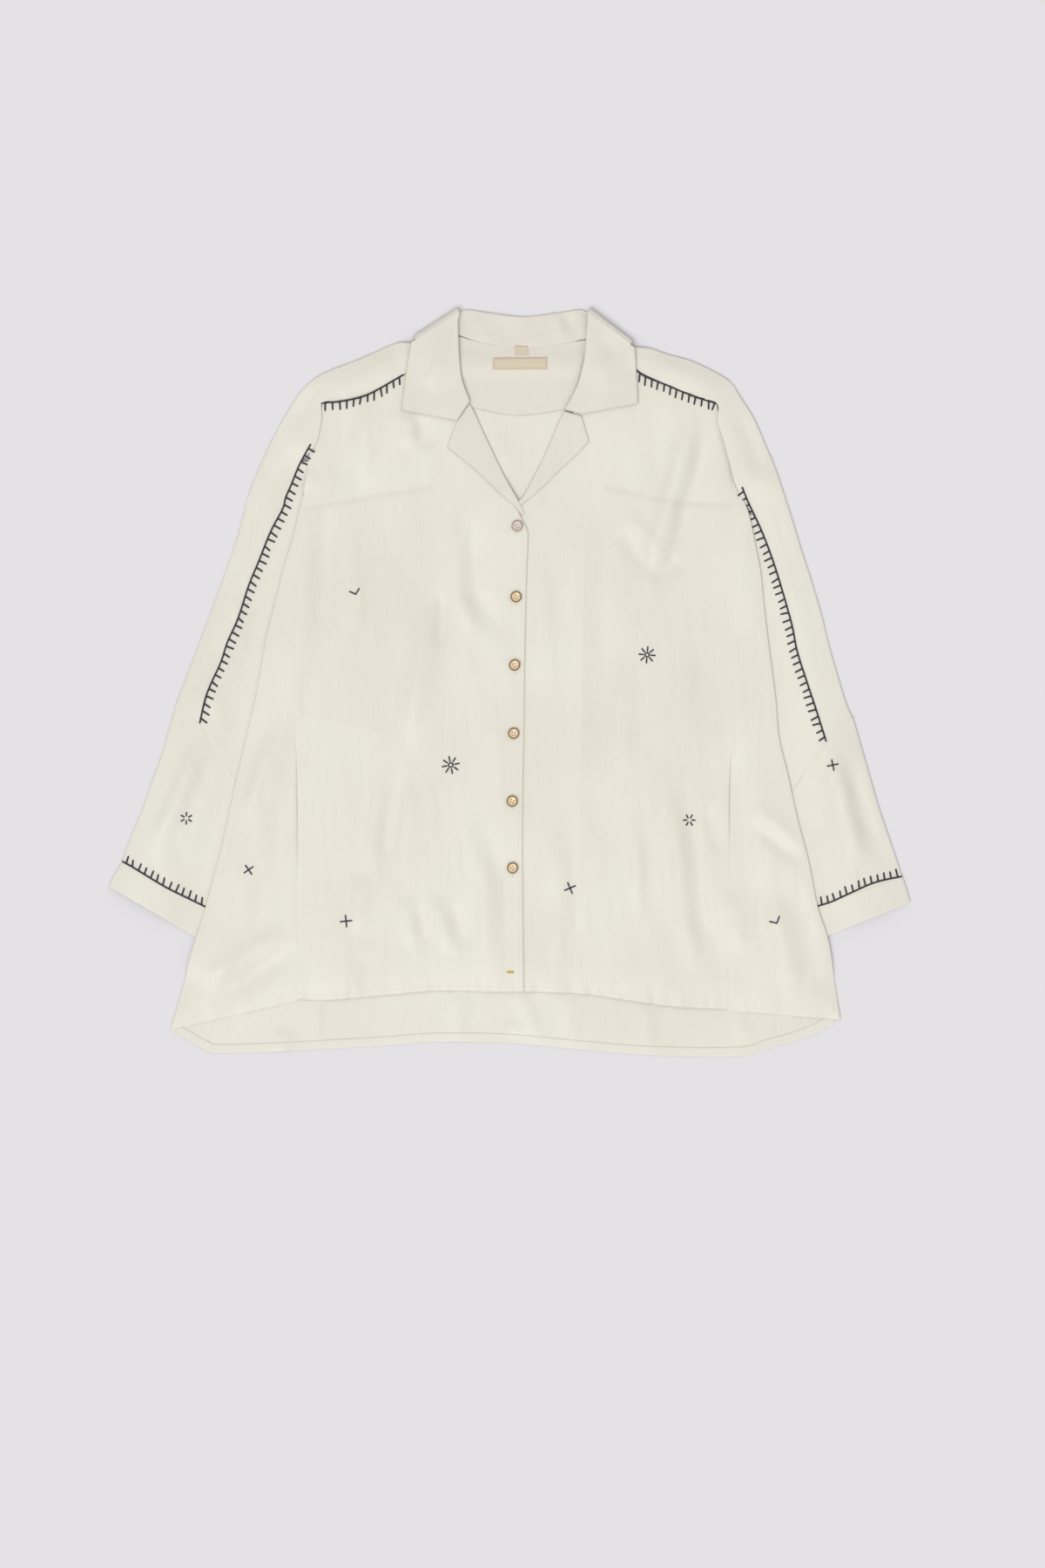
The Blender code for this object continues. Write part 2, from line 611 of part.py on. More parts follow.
def build_sleeve_under(side, material):
    top = sleeve_front_level(side)
    rows = []
    for seam_x, seam_y, tuck_x, tuck_y in under_rows[side]:
        seam = np.array((seam_x, seam_y))
        tuck = np.array((tuck_x, tuck_y))
        inward = (tuck - seam) / np.linalg.norm(tuck - seam)
        seam = seam + inward * under_gap
        rows.append(turned_row(seam, tuck, seam, top, sleeve_back_level, (8, 3), 4))
    rows[-1] = [(x, y + under_gap, *rest) for x, y, *rest in rows[-1]]
    add_cloth(f"sleeve_under_{side}", mirrored(rows, side), material)


def tube_row(fold, middle, tuck, top, low):
    """A whole section of a flat tube, round from its outer fold over the top and back underneath."""
    fold, middle, tuck = (np.array(p, float) for p in (fold, middle, tuck))
    outward = (fold - middle) / np.linalg.norm(fold - middle)
    inward = (tuck - middle) / np.linalg.norm(tuck - middle)
    outer = fold - outward * (outer_fold / 2 + wall / 2)
    inner = tuck - inward * (tucked_fold / 2 + wall / 2)
    plan = between(outer, middle, 4) + between(middle, inner, 8, skip_first=True)
    section = [(x, y, top(x, y), *face_up) for x, y in plan]
    for k in range(1, 3):
        angle = math.pi * k / 3
        out = inward * math.sin(angle)
        x, y = inner + out * tucked_fold / 2
        section.append((x, y, low(*inner) + tucked_fold / 2 * (1 + math.cos(angle)), *out, math.cos(angle)))
    under = between(inner, middle, 3) + between(middle, outer, 2, skip_first=True)
    section += [(x, y, low(x, y), *face_down) for x, y in under]
    for k in range(1, 4):
        angle = math.pi * (1 - k / 4)
        out = outward * math.sin(angle)
        x, y = outer + out * outer_fold / 2
        section.append((x, y, low(*outer) + outer_fold / 2 * (1 + math.cos(angle)), *out, math.cos(angle)))
    return section


def build_tube(name, table, side, material):
    top = sleeve_front_level(side)
    rows = []
    for fold_x, fold_y, middle_x, middle_y, tuck_x, tuck_y in table:
        rows.append(
            tube_row((fold_x, fold_y), (middle_x, middle_y), (tuck_x, tuck_y), top, sleeve_back_level)
        )
    rows[0] = [(x, y - under_gap, *rest) for x, y, *rest in rows[0]]
    add_cloth(name, mirrored(rows, side), material, closed=True)


def build_side_panel(side, material):
    rows = []
    for seam_x, seam_y, edge_x, edge_y, back_x, back_y in side_rows[side]:
        seam, edge, back = (seam_x, seam_y), (edge_x, edge_y), (back_x, back_y)
        rows.append(turned_row(seam, edge, back, front_level, back_level, (6, 5), 4))
    add_cloth(f"side_panel_{side}", mirrored([row[::-1] for row in rows], side), material)


def back_outline():
    """The back's outline: its saddle seams and neck, its hem, and its sides."""
    saddle_right = [(row[0], row[1] - saddle_inset) for row in upper_rows["right"][0:7]]
    saddle_left = [(row[0], row[1] - saddle_inset) for row in upper_rows["left"][0:6]]
    top = [back_side["right"][0]] + saddle_right[::-1] + neck_line + saddle_left + [back_side["left"][0]]
    return top, back_hem, back_side["right"], back_side["left"]


def build_back(material):
    top, hem, right, left = back_outline()
    height = neck_line[2][1] - hem[5][1]
    facing_row = facing_depth / height
    band_row = 1 - hem_band_depth / height
    rows_down = [0, 0.013, 0.03, 0.055, facing_row, 0.15, 0.2, 0.26, 0.33, 0.41, 0.5, 0.6, 0.7, 0.79]
    rows_down += [0.85, 0.9, 0.95, band_row, 1]
    across = at_corners([top], [0.015, 0.03, 0.055, 0.945, 0.97, 0.985])
    rows = lay(fill_outline(top, hem, right, left, across, rows_down), back_level)
    add_cloth("back", rows, material)
    lifted = [[(x, y, z + ply, *rest) for x, y, z, *rest in row] for row in rows]
    neck_start, neck_end = neck_line[0][0] - 1, neck_line[-1][0] + 1
    columns = [j for j, place in enumerate(rows[0]) if neck_start < place[0] < neck_end]
    facing = [row[columns[0] : columns[-1] + 1] for row in lifted[: rows_down.index(facing_row) + 1]]
    add_cloth("back_neck_facing", facing, material)
    add_cloth("back_hem_band", lifted[-2:], material)


def build_front(side, material):
    saddle = upper_rows[side]
    count = 7 if side == "right" else 6
    top = [front_inner[side][0]] + [(row[0], row[1] - front_inset) for row in saddle[1:count]]
    top.append(front_outer[side][0])
    across = at_corners([top], [0.04, 0.08, 0.12, 0.17, 0.24, 0.33, 0.43, 0.54, 0.66, 0.78, 0.89], 0.03)
    rows_down = at_corners([front_inner[side]], [0.013, 0.03, 0.05, *(k / 15 for k in range(16))])
    plan = fill_outline(top, front_hem[side], front_inner[side], front_outer[side], across, rows_down)
    rows = lay(plan, front_under(side))
    add_cloth(f"front_{side}", mirrored([row[::-1] for row in rows], side), material)


def build_lapel(side, material):
    level = front_under(side)

    def folded_back(x, y):
        return level(x, y) + ply + gap

    def tucked_in(x, y):
        return level(x, y) - ply

    rows = []
    for roll_x, roll_y, edge_x, edge_y, tuck in lapel_rows[side]:
        roll = np.array((roll_x, roll_y))
        edge = np.array((edge_x, edge_y))
        inward = (edge - roll) / np.linalg.norm(edge - roll)
        back = roll + inward * (tuck + wall / 2 + ply)
        rows.append(turned_row(edge, roll, back, folded_back, tucked_in, (3, 2), 4))
    add_cloth(f"front_facing_{side}", mirrored(rows, side), material)


def build_collar(material):
    fall_radius = (back_level(-57.0, 400.0) + front_gap + ply + gap + roll_fold - wall / 2) / 2
    stand_radius = fall_radius - roll_fold
    roll_radius = roll_fold / 2
    fall_shares = [1, 0.82, 0.62, 0.42, bend_share, 0.12, 0]
    places = [row[:4] for row in collar_rows]
    rows = []
    for roll_x, roll_y, edge_x, edge_y, bend_x, bend_y, turn, stand, settle in collar_rows:
        round_shoulder = places.count((roll_x, roll_y, edge_x, edge_y)) > 1
        roll = np.array((roll_x, roll_y))
        edge = np.array((edge_x, edge_y))
        bend = roll + (edge - roll) * bend_share if bend_x is None else np.array((bend_x, bend_y))
        outward = (bend - roll) / np.linalg.norm(bend - roll)
        start = roll + outward * (roll_radius + wall / 2)
        angle = math.radians(turn)
        over = np.zeros(2)
        if round_shoulder:
            over = np.array((math.copysign(outward[1], roll_x), abs(outward[0])))
            start, edge, bend = (plan - over * (fall_radius + wall / 2) for plan in (start, edge, bend))
        radial = np.array((*(over * math.sin(angle)), math.cos(angle)))

        def place(plan, radius, drop=0.0, turned_in=0.0):
            x, y = plan + over * radius * math.sin(angle)
            z = wall / 2 + fall_radius + radius * math.cos(angle)
            if turn == 0 and not round_shoulder:
                z = front_level(*plan) + ply + gap + roll_fold - fall_radius + radius - drop
            facing = radial * math.cos(turned_in) - np.array((*outward, 0.0)) * math.sin(turned_in)
            return (x, y, z, *facing)

        row = []
        reach = np.linalg.norm(edge - start)
        for share in fall_shares:
            if share > bend_share:
                plan = bend + (edge - bend) * (share - bend_share) / (1 - bend_share)
            else:
                plan = start + (bend - start) * share / bend_share
            settled = settle * ply * ease((share * reach - stand - settle_start) / settle_run)
            row.append(place(plan, fall_radius, settled))
        for k in range(1, 4):
            turn_in = math.pi * k / 4
            plan = start - outward * roll_radius * math.sin(turn_in)
            row.append(place(plan, stand_radius + roll_radius * (1 + math.cos(turn_in)), 0.0, turn_in))
        for share in (0, 0.5, 1):
            row.append(place(start + outward * stand * share, stand_radius, 0.0, math.pi))
        rows.append(row)
    add_cloth("collar", rows[::-1], material)


def build_pocket_bag(side, material):
    rows = []
    for top_x, top_y, low_x, low_y in pocket_bags[side]:
        plan = between(np.array((top_x, top_y)), np.array((low_x, low_y)), 5)
        rows.append([(x, y, back_level(x, y) + front_gap / 2, *face_up) for x, y in plan])
    add_cloth(f"pocket_bag_{side}", rows[::-1] if side == "right" else rows, material)


def build_label(name, corners, above, material):
    top_left, top_right, low_left, low_right = (np.array(c) for c in corners)
    rows = []
    for v in (0.0, 0.5, 1.0):
        start = top_left + (low_left - top_left) * v
        end = top_right + (low_right - top_right) * v
        rows.append([(x, y, back_level(x, y) + above, *face_up) for x, y in between(start, end, 4)])
    add_cloth(name, rows, material, thickness=label_wall)


def build_button(number, centre, material):
    """A turned button with a raised rim, a dished middle and four holes."""
    x, y = centre
    base = right_front_level(x, y) + wall / 2 + seat_gap
    profile = [
        (button_radius - 1.1, 0.0), (button_radius - 0.25, 0.5), (button_radius, 1.3),
        (button_radius - 0.5, 2.3), (button_radius - 1.2, button_height),
        (button_radius - 2.0, 2.2), (0.0, 1.6),
    ]
    points = [(0.0, 0.0, 0.0)]
    for radius, height in profile[:-1]:
        for k in range(round_steps):
            angle = 2 * math.pi * k / round_steps
            points.append((radius * math.cos(angle), radius * math.sin(angle), height))
    points.append((0.0, 0.0, profile[-1][1]))
    faces = []
    last = len(points) - 1
    rings = len(profile) - 1
    for k in range(round_steps):
        n = (k + 1) % round_steps
        faces.append((0, 1 + n, 1 + k))
        for ring in range(rings - 1):
            a = 1 + ring * round_steps
            b = a + round_steps
            faces.append((a + k, a + n, b + n, b + k))
        top = 1 + (rings - 1) * round_steps
        faces.append((top + k, top + n, last))
    button = add_mesh(f"button_{number}", points, faces, material)
    button.location = (x * mm, y * mm, base * mm)
    for corner in range(4):
        angle = math.pi / 4 + math.pi / 2 * corner
        hole_x = x + hole_spacing * math.cos(angle)
        hole_y = y + hole_spacing * math.sin(angle)
        bpy.ops.mesh.primitive_cylinder_add(
            vertices=6,
            radius=hole_radius * mm,
            depth=4 * button_height * mm,
            location=(hole_x * mm, hole_y * mm, base * mm),
        )
        drill = bpy.context.object
        drill.name = f"drill_{number}_{corner}"
        drill.hide_render = True
        drill.display_type = "WIRE"
        cut = button.modifiers.new(f"hole_{corner}", "BOOLEAN")
        cut.operation = "DIFFERENCE"
        cut.object = drill


def main():
    for old in list(bpy.data.objects):
        bpy.data.objects.remove(old)
    cloth = make_material("silk", silk, 0.45)
    collar_cloth = make_material("collar_silk", collar_silk, 0.45)
    tape = make_material("label_tape", label_tape, 0.8)
    gold = make_material("gold_button", gold_button, 0.3, 0.8)
    shell = make_material("shell_button", shell_button, 0.35)
    build_back(cloth)
    for side in ("right", "left"):
        build_front(side, cloth)
        build_lapel(side, collar_cloth)
        build_side_panel(side, cloth)
        build_sleeve_upper(side, cloth)
        build_sleeve_under(side, cloth)
        build_tube(f"sleeve_lower_{side}", lower_rows[side], side, cloth)
        build_tube(f"cuff_{side}", cuff_rows[side], side, cloth)
        build_pocket_bag(side, cloth)
    build_collar(collar_cloth)
    build_label("neck_label", label_corners, 2 * ply + label_gap, tape)
    build_label("size_tab", tab_corners, 2 * ply + label_gap, tape)
    for number, centre in enumerate(button_centres, 1):
        build_button(number, centre, shell if number == 1 else gold)


main()
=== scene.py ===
import math

import bpy
import numpy as np
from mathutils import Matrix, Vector


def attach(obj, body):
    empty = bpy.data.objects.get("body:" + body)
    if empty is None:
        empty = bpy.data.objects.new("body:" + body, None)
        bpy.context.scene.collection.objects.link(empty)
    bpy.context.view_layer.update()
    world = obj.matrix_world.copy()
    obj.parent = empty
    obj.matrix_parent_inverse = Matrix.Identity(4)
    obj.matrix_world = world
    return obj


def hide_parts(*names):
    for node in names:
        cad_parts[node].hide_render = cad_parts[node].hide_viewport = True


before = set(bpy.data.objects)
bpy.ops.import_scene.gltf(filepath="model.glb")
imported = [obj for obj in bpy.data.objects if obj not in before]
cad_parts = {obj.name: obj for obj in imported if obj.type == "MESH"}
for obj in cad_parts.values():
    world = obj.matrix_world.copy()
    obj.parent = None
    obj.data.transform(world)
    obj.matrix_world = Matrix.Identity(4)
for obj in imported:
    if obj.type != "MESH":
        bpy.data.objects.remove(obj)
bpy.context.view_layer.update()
print("frame loaded")

# A loose ivory silk shirt laid flat on its back, buttoned, with its sleeves partly under its sides.
# Tables are in millimetres: x to the viewer's right, y towards the collar, z up from the floor.
# "right" and "left" are the wearer's, so the right front is on the viewer's left.

mm = 0.001

# How the layers lie on each other, as in the frame.
layers = {
    "shell": 0.4,  # thickness of the silk with its seam allowances
    "wall": 1.2,  # the frame's cloth wall, whose middle each shell follows
    "ply": 1.5,
    "seamGap": 0.3,
    "rest": 0.15,  # how far the back lies off the floor
    "frontGap": 4.5,  # the fronts above the back
    "placketRaise": 1.1,
    "placketEdge": -9.0,
    "outerFold": 2.4,
    "tuckedFold": 1.8,
    "rollFold": 2.0,
    "bodyLift": 3.3,  # over the tucked sleeves
    "bodyRun": 24.0,
    "collarRun": 16.0,
    "lowest": 0.3,
    "creases": 1.5,  # how strongly creases and rumple show, away from the edges
    "rumple": 1.3,
    "edgeRun": 16.0,
    "edgeShare": 0.25,
}
ply = layers["ply"]
shell = layers["shell"]

# How the sleeves stand up off the floor, and where they lie down again.
loft = {
    "height": 5.0,
    "run": 36.0,
    "freeFrom": 9.0,  # past the strip that lies under the body
    "atSeam": 0.35,
    "seamRun": 40.0,
    "atCollar": 0.4,
    "collarRun": 30.0,
    "deepest": -0.6,
    "slant": 0.42,
}

# Where the sleeves lie under the body.
tuckedStrip = {
    "right": [
        (-223, 214), (-231, 174), (-246, 124), (-266, 42), (-276, -14), (-300, -118), (-323, -216),
        (-350, -302), (-320, -316), (-297, -266), (-283, -204), (-272, -156), (-258, -100), (-240, -14),
        (-230, 42), (-222, 112), (-221, 150), (-223, 183),
    ],
    "left": [
        (262, 184), (273, 129), (282, 42), (292, -44), (311, -123), (326, -196), (352, -302), (311, -318),
        (295, -261), (281, -165), (269, -120), (258, -76), (251, 8), (249, 40), (251, 80), (257, 120),
        (258.5, 158),
    ],
}
# Where the collar falls behind the neck.
collarFall = [
    (-57, 410), (-113, 376), (-110, 356), (-90, 338), (-34, 343), (13, 342), (62, 343), (116, 340),
    (141, 352), (143, 372), (88, 410),
]

# The creases of the fronts and side panels: rise (minus for a trough), half width, lean, then x and y
# of each place on its line.
bodyCreases = [
    (4.2, 13, 0.9, 204, 318, 192, 262, 156, 128, 148, 96),
    (-2.6, 12, 0.9, 220, 300, 210, 250, 178, 130, 170, 104), (-1.8, 10, 1.0, 118, 168, 139, 136, 160, 112),
    (1.6, 9, 1.0, 128, 186, 150, 154, 170, 132), (-1.5, 9, 1.0, 150, 108, 168, 118, 190, 136),
    (1.9, 12, 0.7, 82, 190, 78, 60, 80, -120), (-1.7, 17, 1.3, 104, 170, 100, 40, 106, -110),
    (1.8, 10, 1.0, 139, -140, 140, -262), (-1.4, 10, 1.0, 153, -150, 153, -266),
    (2.7, 11, 0.8, 168, -84, 184, -190, 190, -262, 212, -342),
    (-2.4, 12, 1.2, 186, -96, 204, -196, 208, -255, 236, -338), (-1.6, 10, 1.0, 214, -130, 228, -196),
    (2.0, 10, 0.8, 236, -222, 252, -302), (-2.0, 11, 0.8, 258, -150, 307, -189, 330, -200),
    (1.7, 10, 1.0, 262, -136, 310, -174, 330, -182), (-2.3, 15, 1.2, 304, -205, 324, -277, 330, -345),
    (2.4, 14, 1.0, 286, -226, 300, -290, 306, -352), (2.6, 13, 0.9, -58, 196, -57, 96, -36, 54, -14, 28),
    (-2.4, 13, 1.1, -40, 190, -38, 96, -16, 60, 2, 34), (-1.8, 9, 1.0, -98, 292, -94, 272, -88, 248),
    (2.2, 10, 1.0, -112, 296, -108, 250), (-1.8, 8, 1.0, -72, 104, -74, 60, -78, 30),
    (2.8, 12, 0.8, -86, 96, -98, 20, -112, -84), (-1.8, 14, 1.3, -118, 60, -130, -10, -138, -90),
    (-2.1, 12, 1.2, -122, -92, -130, -160, -140, -226), (2.3, 11, 0.8, -138, -84, -146, -150, -156, -226),
    (1.6, 11, 0.8, -104, -96, -114, -170, -118, -232), (2.0, 10, 1.0, -162, -206, -164, -280),
    (-1.6, 9, 1.0, -156, -292, -158, -350), (2.1, 9, 1.0, -114, -232, -102, -296),
    (-1.6, 9, 1.0, -102, -238, -88, -300), (2.2, 10, 1.0, -82, -230, -62, -302),
    (-1.7, 10, 1.0, -66, -236, -46, -300), (2.6, 12, 0.8, -46, -146, -26, -222, -26, -334),
    (-2.2, 13, 1.2, -28, -150, -6, -222, -6, -330), (-2.6, 12, 0.8, -228, -284, -270, -315, -330, -356),
    (2.6, 12, 1.0, -236, -268, -286, -298, -340, -334), (1.9, 13, 1.0, -243, -36, -270, -100, -294, -160),
    (-1.5, 14, 1.0, -262, -30, -286, -100, -306, -150), (-1.5, 16, 1.0, -205, 210, -200, 120, -208, 20),
    (1.7, 15, 1.0, -178, 200, -172, 110, -180, 10), (1.5, 12, 1.0, 52, -150, 56, -250, 50, -330),
    (-1.3, 13, 1.0, 66, -150, 72, -250, 66, -330), (1.5, 12, 1.0, 36, 150, 38, 60, 30, -20),
    (-1.4, 14, 1.0, 208, 60, 214, 0, 206, -70), (1.5, 12, 1.0, 126, 30, 120, -40, 128, -110),
    (-1.5, 12, 1.0, 170, 300, 160, 250, 166, 190), (1.8, 14, 1.0, -150, 312, -160, 262, -156, 196),
    (-1.6, 13, 1.0, -172, 304, -184, 254, -180, 196),
]
sleeveCreases = [
    (-2.8, 12, 1.2, -316, -66, -338, -120, -370, -204), (3.4, 12, 0.8, -336, -60, -358, -120, -392, -196),
    (-1.8, 10, 1.0, -210, 330, -222, 312, -236, 270), (-1.4, 14, 1.0, -262, 232, -286, 160, -306, 90),
    (1.2, 12, 1.0, -300, 40, -322, -10, -340, -50), (-1.6, 12, 1.0, -250, -40, -280, -110, -312, -170),
    (-2.4, 12, 0.8, 364, -66, 380, -126, 402, -206), (2.8, 12, 1.2, 346, -64, 362, -124, 384, -212),
    (-1.6, 11, 1.0, 248, 306, 262, 268, 284, 214), (-1.3, 13, 1.0, 276, 226, 300, 150, 322, 80),
    (-1.5, 12, 1.0, 306, -96, 318, -150, 328, -220),
]
backCreases = [
    (2.2, 9, 1.0, -246, -376, -250, -412), (1.9, 8, 1.0, -209, -340, -214, -404),
    (-0.5, 12, 1.0, -140, -340, -148, -404), (2.0, 9, 1.0, -54, -330, -58, -400),
    (2.4, 9, 1.0, 8, -330, 24, -372, 32, -398), (1.8, 9, 1.0, 64, -330, 66, -404),
    (2.1, 9, 1.0, 147, -340, 154, -412), (1.8, 8, 1.0, 250, -350, 258, -398),
    (1.0, 7, 1.0, -10, -375, 5, -380, 20, -375), (1.2, 10, 1.0, -20, 300, -12, 260, 4, 215),
    (1.0, 9, 1.0, 44, 300, 36, 262, 24, 224),
]


def ease(t):
    t = np.clip(t, 0.0, 1.0)
    return t * t * (3.0 - 2.0 * t)


def lineDistance(x, y, points):
    # how far places are from a line, on which side, and how far along it the nearest place is
    nearest = np.full(np.shape(x), np.inf)
    side = np.zeros(np.shape(x))
    run = np.zeros(np.shape(x))
    start = 0.0
    for (ax, ay), (bx, by) in zip(points[:-1], points[1:]):
        dx, dy = bx - ax, by - ay
        length = math.hypot(dx, dy)
        t = np.clip(((x - ax) * dx + (y - ay) * dy) / length**2, 0.0, 1.0)
        away = np.hypot(x - ax - t * dx, y - ay - t * dy)
        closer = away < nearest
        nearest = np.where(closer, away, nearest)
        side = np.where(closer, np.sign((x - ax) * dy - (y - ay) * dx), side)
        run = np.where(closer, start + t * length, run)
        start += length
    return nearest, side, run, start


def areaDistance(x, y, corners):
    loop = corners + corners[:1]
    inside = np.zeros(np.shape(x), bool)
    for (ax, ay), (bx, by) in zip(loop[:-1], loop[1:]):
        slope = (bx - ax) / (by - ay) if by != ay else 0.0
        inside ^= ((ay > y) != (by > y)) & (x < slope * (y - ay) + ax)
    return np.where(inside, 0.0, lineDistance(x, y, loop)[0])


noise = {"cells": 97, "shift": 300.0, "skew": 0.37}


def softNoise(x, y, width, length, seed):
    # hills and hollows of about that width and length, from -1 to 1
    cells = noise["cells"]
    heights = np.random.default_rng(seed).uniform(-1.0, 1.0, (cells, cells))
    u = np.asarray(x) / width + noise["shift"]
    v = np.asarray(y) / length + noise["shift"] + noise["skew"] * u
    iu, iv = np.floor(u).astype(int), np.floor(v).astype(int)
    fu, fv = ease(u - iu), ease(v - iv)

    def between(row):
        return heights[iu % cells, row % cells] * (1 - fu) + heights[(iu + 1) % cells, row % cells] * fu

    return between(iv) * (1 - fv) + between(iv + 1) * fv


def creaseRise(x, y, creases):
    rise = np.zeros(np.shape(x))
    for height, halfWidth, lean, *line in creases:
        away, side, run, length = lineDistance(x, y, list(zip(line[::2], line[1::2])))
        reach = halfWidth * np.where(side > 0, lean, 1.0 / lean)
        ends = ease(run / (0.35 * length)) * ease((length - run) / (0.35 * length))
        rise = rise + height * np.exp(-((away / reach) ** 2)) * ends
    return rise


def rumple(x, y, slant=0.0):
    # the small unevenness of laid silk: broad swells and long narrow ripples
    across = x - slant * y
    swell = 0.7 * softNoise(x, y, 62.0, 90.0, 3) + 0.5 * softNoise(across, y, 27.0, 70.0, 5)
    ripple = 0.30 * softNoise(across, y, 11.0, 60.0, 8) + 0.12 * softNoise(across, y, 5.5, 40.0, 13)
    return swell + ripple


def backLevel(x, y):
    overSleeve = np.minimum(*[areaDistance(x, y, strip) for strip in tuckedStrip.values()])
    overCollar = areaDistance(x, y, collarFall)
    lift = layers["bodyLift"] * ease(1.0 - overSleeve / layers["bodyRun"])
    lift = np.maximum(lift, ply * ease(1.0 - overCollar / layers["collarRun"]))
    return layers["wall"] / 2 + layers["rest"] + lift


# Inside the neck opening the back puffs up to the fronts.
neckPuff = {
    "area": [
        (-46, 350), (-37, 300), (-22, 264), (0, 220), (10, 200), (22, 220), (40, 258), (58, 298), (70, 350),
    ],
    "rise": 2.3,
    "run": 26.0,
    "fadeFrom": 372.0,
    "fade": 30.0,
    "rumple": 0.35,
}


def backSurface(x, y):
    low = backLevel(x, y) + creaseRise(x, y, backCreases) + neckPuff["rumple"] * rumple(x, y)
    puff = neckPuff["rise"] * ease(1.0 - areaDistance(x, y, neckPuff["area"]) / neckPuff["run"])
    return np.maximum(low, layers["lowest"]) + puff * ease((neckPuff["fadeFrom"] - y) / neckPuff["fade"])


# The cloth curves down to its hem and to its outer edges, and puckers along the hem.
settling = {
    "hem": 3.0,
    "hemRun": 34.0,
    "edge": 2.6,
    "edgeRun": 26.0,
    "pucker": 1.3,
    "puckerSize": (7.5, 60.0),
    "puckerRun": 13.0,
}


def bodyEdge(x, y):
    return np.minimum(*[lineDistance(x, y, edge)[0] for edge in edgePaths.values()])


def frontLevel(x, y):
    hem = lineDistance(x, y, hemPath)[0]
    drop = settling["hem"] * (1.0 - np.clip(hem / settling["hemRun"], 0, 1)) ** 2
    atEdge = settling["edge"] * (1.0 - np.clip(bodyEdge(x, y) / settling["edgeRun"], 0, 1)) ** 2
    pucker = settling["pucker"] * softNoise(x, y, *settling["puckerSize"], 21)
    pucker = pucker * np.exp(-((hem / settling["puckerRun"]) ** 2))
    return backLevel(x, y) + layers["frontGap"] - np.maximum(drop, atEdge) + pucker


def relief(x, y, creases, slant=0.0):
    return layers["creases"] * creaseRise(x, y, creases) + layers["rumple"] * rumple(x, y, slant)


def leftSurface(x, y):
    inward = ease(bodyEdge(x, y) / layers["edgeRun"])
    soft = layers["edgeShare"] + (1.0 - layers["edgeShare"]) * inward
    return frontLevel(x, y) + soft * relief(x, y, bodyCreases)


def rightSurface(x, y):
    lap = ease((x - layers["placketEdge"] + 26.0) / 22.0) * ease((216.0 - y) / 20.0)
    return leftSurface(x, y) + layers["placketRaise"] * lap


def bodySurface(side):
    return rightSurface if side == "right" else leftSurface


def sleeveBack(x, y):
    return layers["wall"] / 2 + ply * ease(1.0 - areaDistance(x, y, collarFall) / layers["collarRun"])


def sleeveSurface(side):
    fold = [row[2:4] for row in sleeve["saddle"][side]] + [row[0:2] for row in sleeve["forearm"][side][1:]]
    fold = fold + [cuff["rows"][side][-1][0:2]]
    slant = -loft["slant"] if side == "right" else loft["slant"]

    def level(x, y):
        free = ease((areaDistance(x, y, tuckedStrip[side]) - loft["freeFrom"]) / loft["run"])
        away = lineDistance(x, y, fold)[0]
        rise = loft["height"] * (1.0 - (1.0 - np.clip(away / loft["run"], 0, 1)) ** 2)
        rise = rise * ease(loft["atSeam"] + lineDistance(x, y, saddleEdge[side])[0] / loft["seamRun"])
        offCollar = ease(areaDistance(x, y, collarFall) / loft["collarRun"])
        rise = rise * (loft["atCollar"] + (1.0 - loft["atCollar"]) * offCollar)
        shape = layers["outerFold"] - layers["tuckedFold"] + rise
        shape = shape + ease(away / layers["edgeRun"]) * relief(x, y, sleeveCreases, slant)
        return sleeveBack(x, y) + layers["tuckedFold"] + np.maximum(shape, loft["deepest"]) * free

    return level


def smoothRows(table, step, corners=()):
    # rows in between, on smooth curves through a table's columns, apart from sharp rows
    rows = np.array(table, float)
    stops = [0, *corners, len(rows) - 1]
    out = [rows[0]]
    for first, last in zip(stops[:-1], stops[1:]):
        part = rows[first : last + 1]
        padded = np.concatenate([[2 * part[0] - part[1]], part, [2 * part[-1] - part[-2]]])
        for k in range(1, len(part)):
            a, b, c, d = padded[k - 1 : k + 3]
            count = max(1, math.ceil(np.abs(c - b).max() / step))
            for t in np.arange(1, count + 1) / count:
                square, cube = 2 * a - 5 * b + 4 * c - d, 3 * b - a - 3 * c + d
                out.append((2 * b + (c - a) * t + square * t**2 + cube * t**3) / 2)
    return np.array(out)


def facingOut(rows, turned):
    # rows of places as one grid, turned where the piece would face in
    grid = np.array(rows)
    return grid[:, ::-1] if turned else grid


def runAlong(points):
    return np.concatenate([[0.0], np.cumsum(np.linalg.norm(np.diff(points, axis=0), axis=1))])


def along(points, fractions):
    points = np.array(points, float)
    run = runAlong(points)
    at = np.array(fractions) * run[-1]
    return np.stack([np.interp(at, run, points[:, k]) for k in range(points.shape[1])], axis=-1)


def fillOutline(top, bottom, left, right, columns, rows):
    # places in plan that fill an outline of four lines
    u = np.linspace(0, 1, columns + 1)
    v = np.linspace(0, 1, rows + 1)
    t, b = along(top, u)[None], along(bottom, u)[None]
    l, r = along(left, v)[:, None], along(right, v)[:, None]
    u, v = u[None, :, None], v[:, None, None]
    corners = (1 - v) * ((1 - u) * t[:, :1] + u * t[:, -1:]) + v * ((1 - u) * b[:, :1] + u * b[:, -1:])
    return (1 - v) * t + v * b + (1 - u) * l + u * r - corners


def raised(plan, surface):
    return np.concatenate([plan, surface(plan[..., 0], plan[..., 1])[..., None]], axis=-1)


turnDepth = 2.0  # how far inside a fold its first height is taken
turnSteps = 7


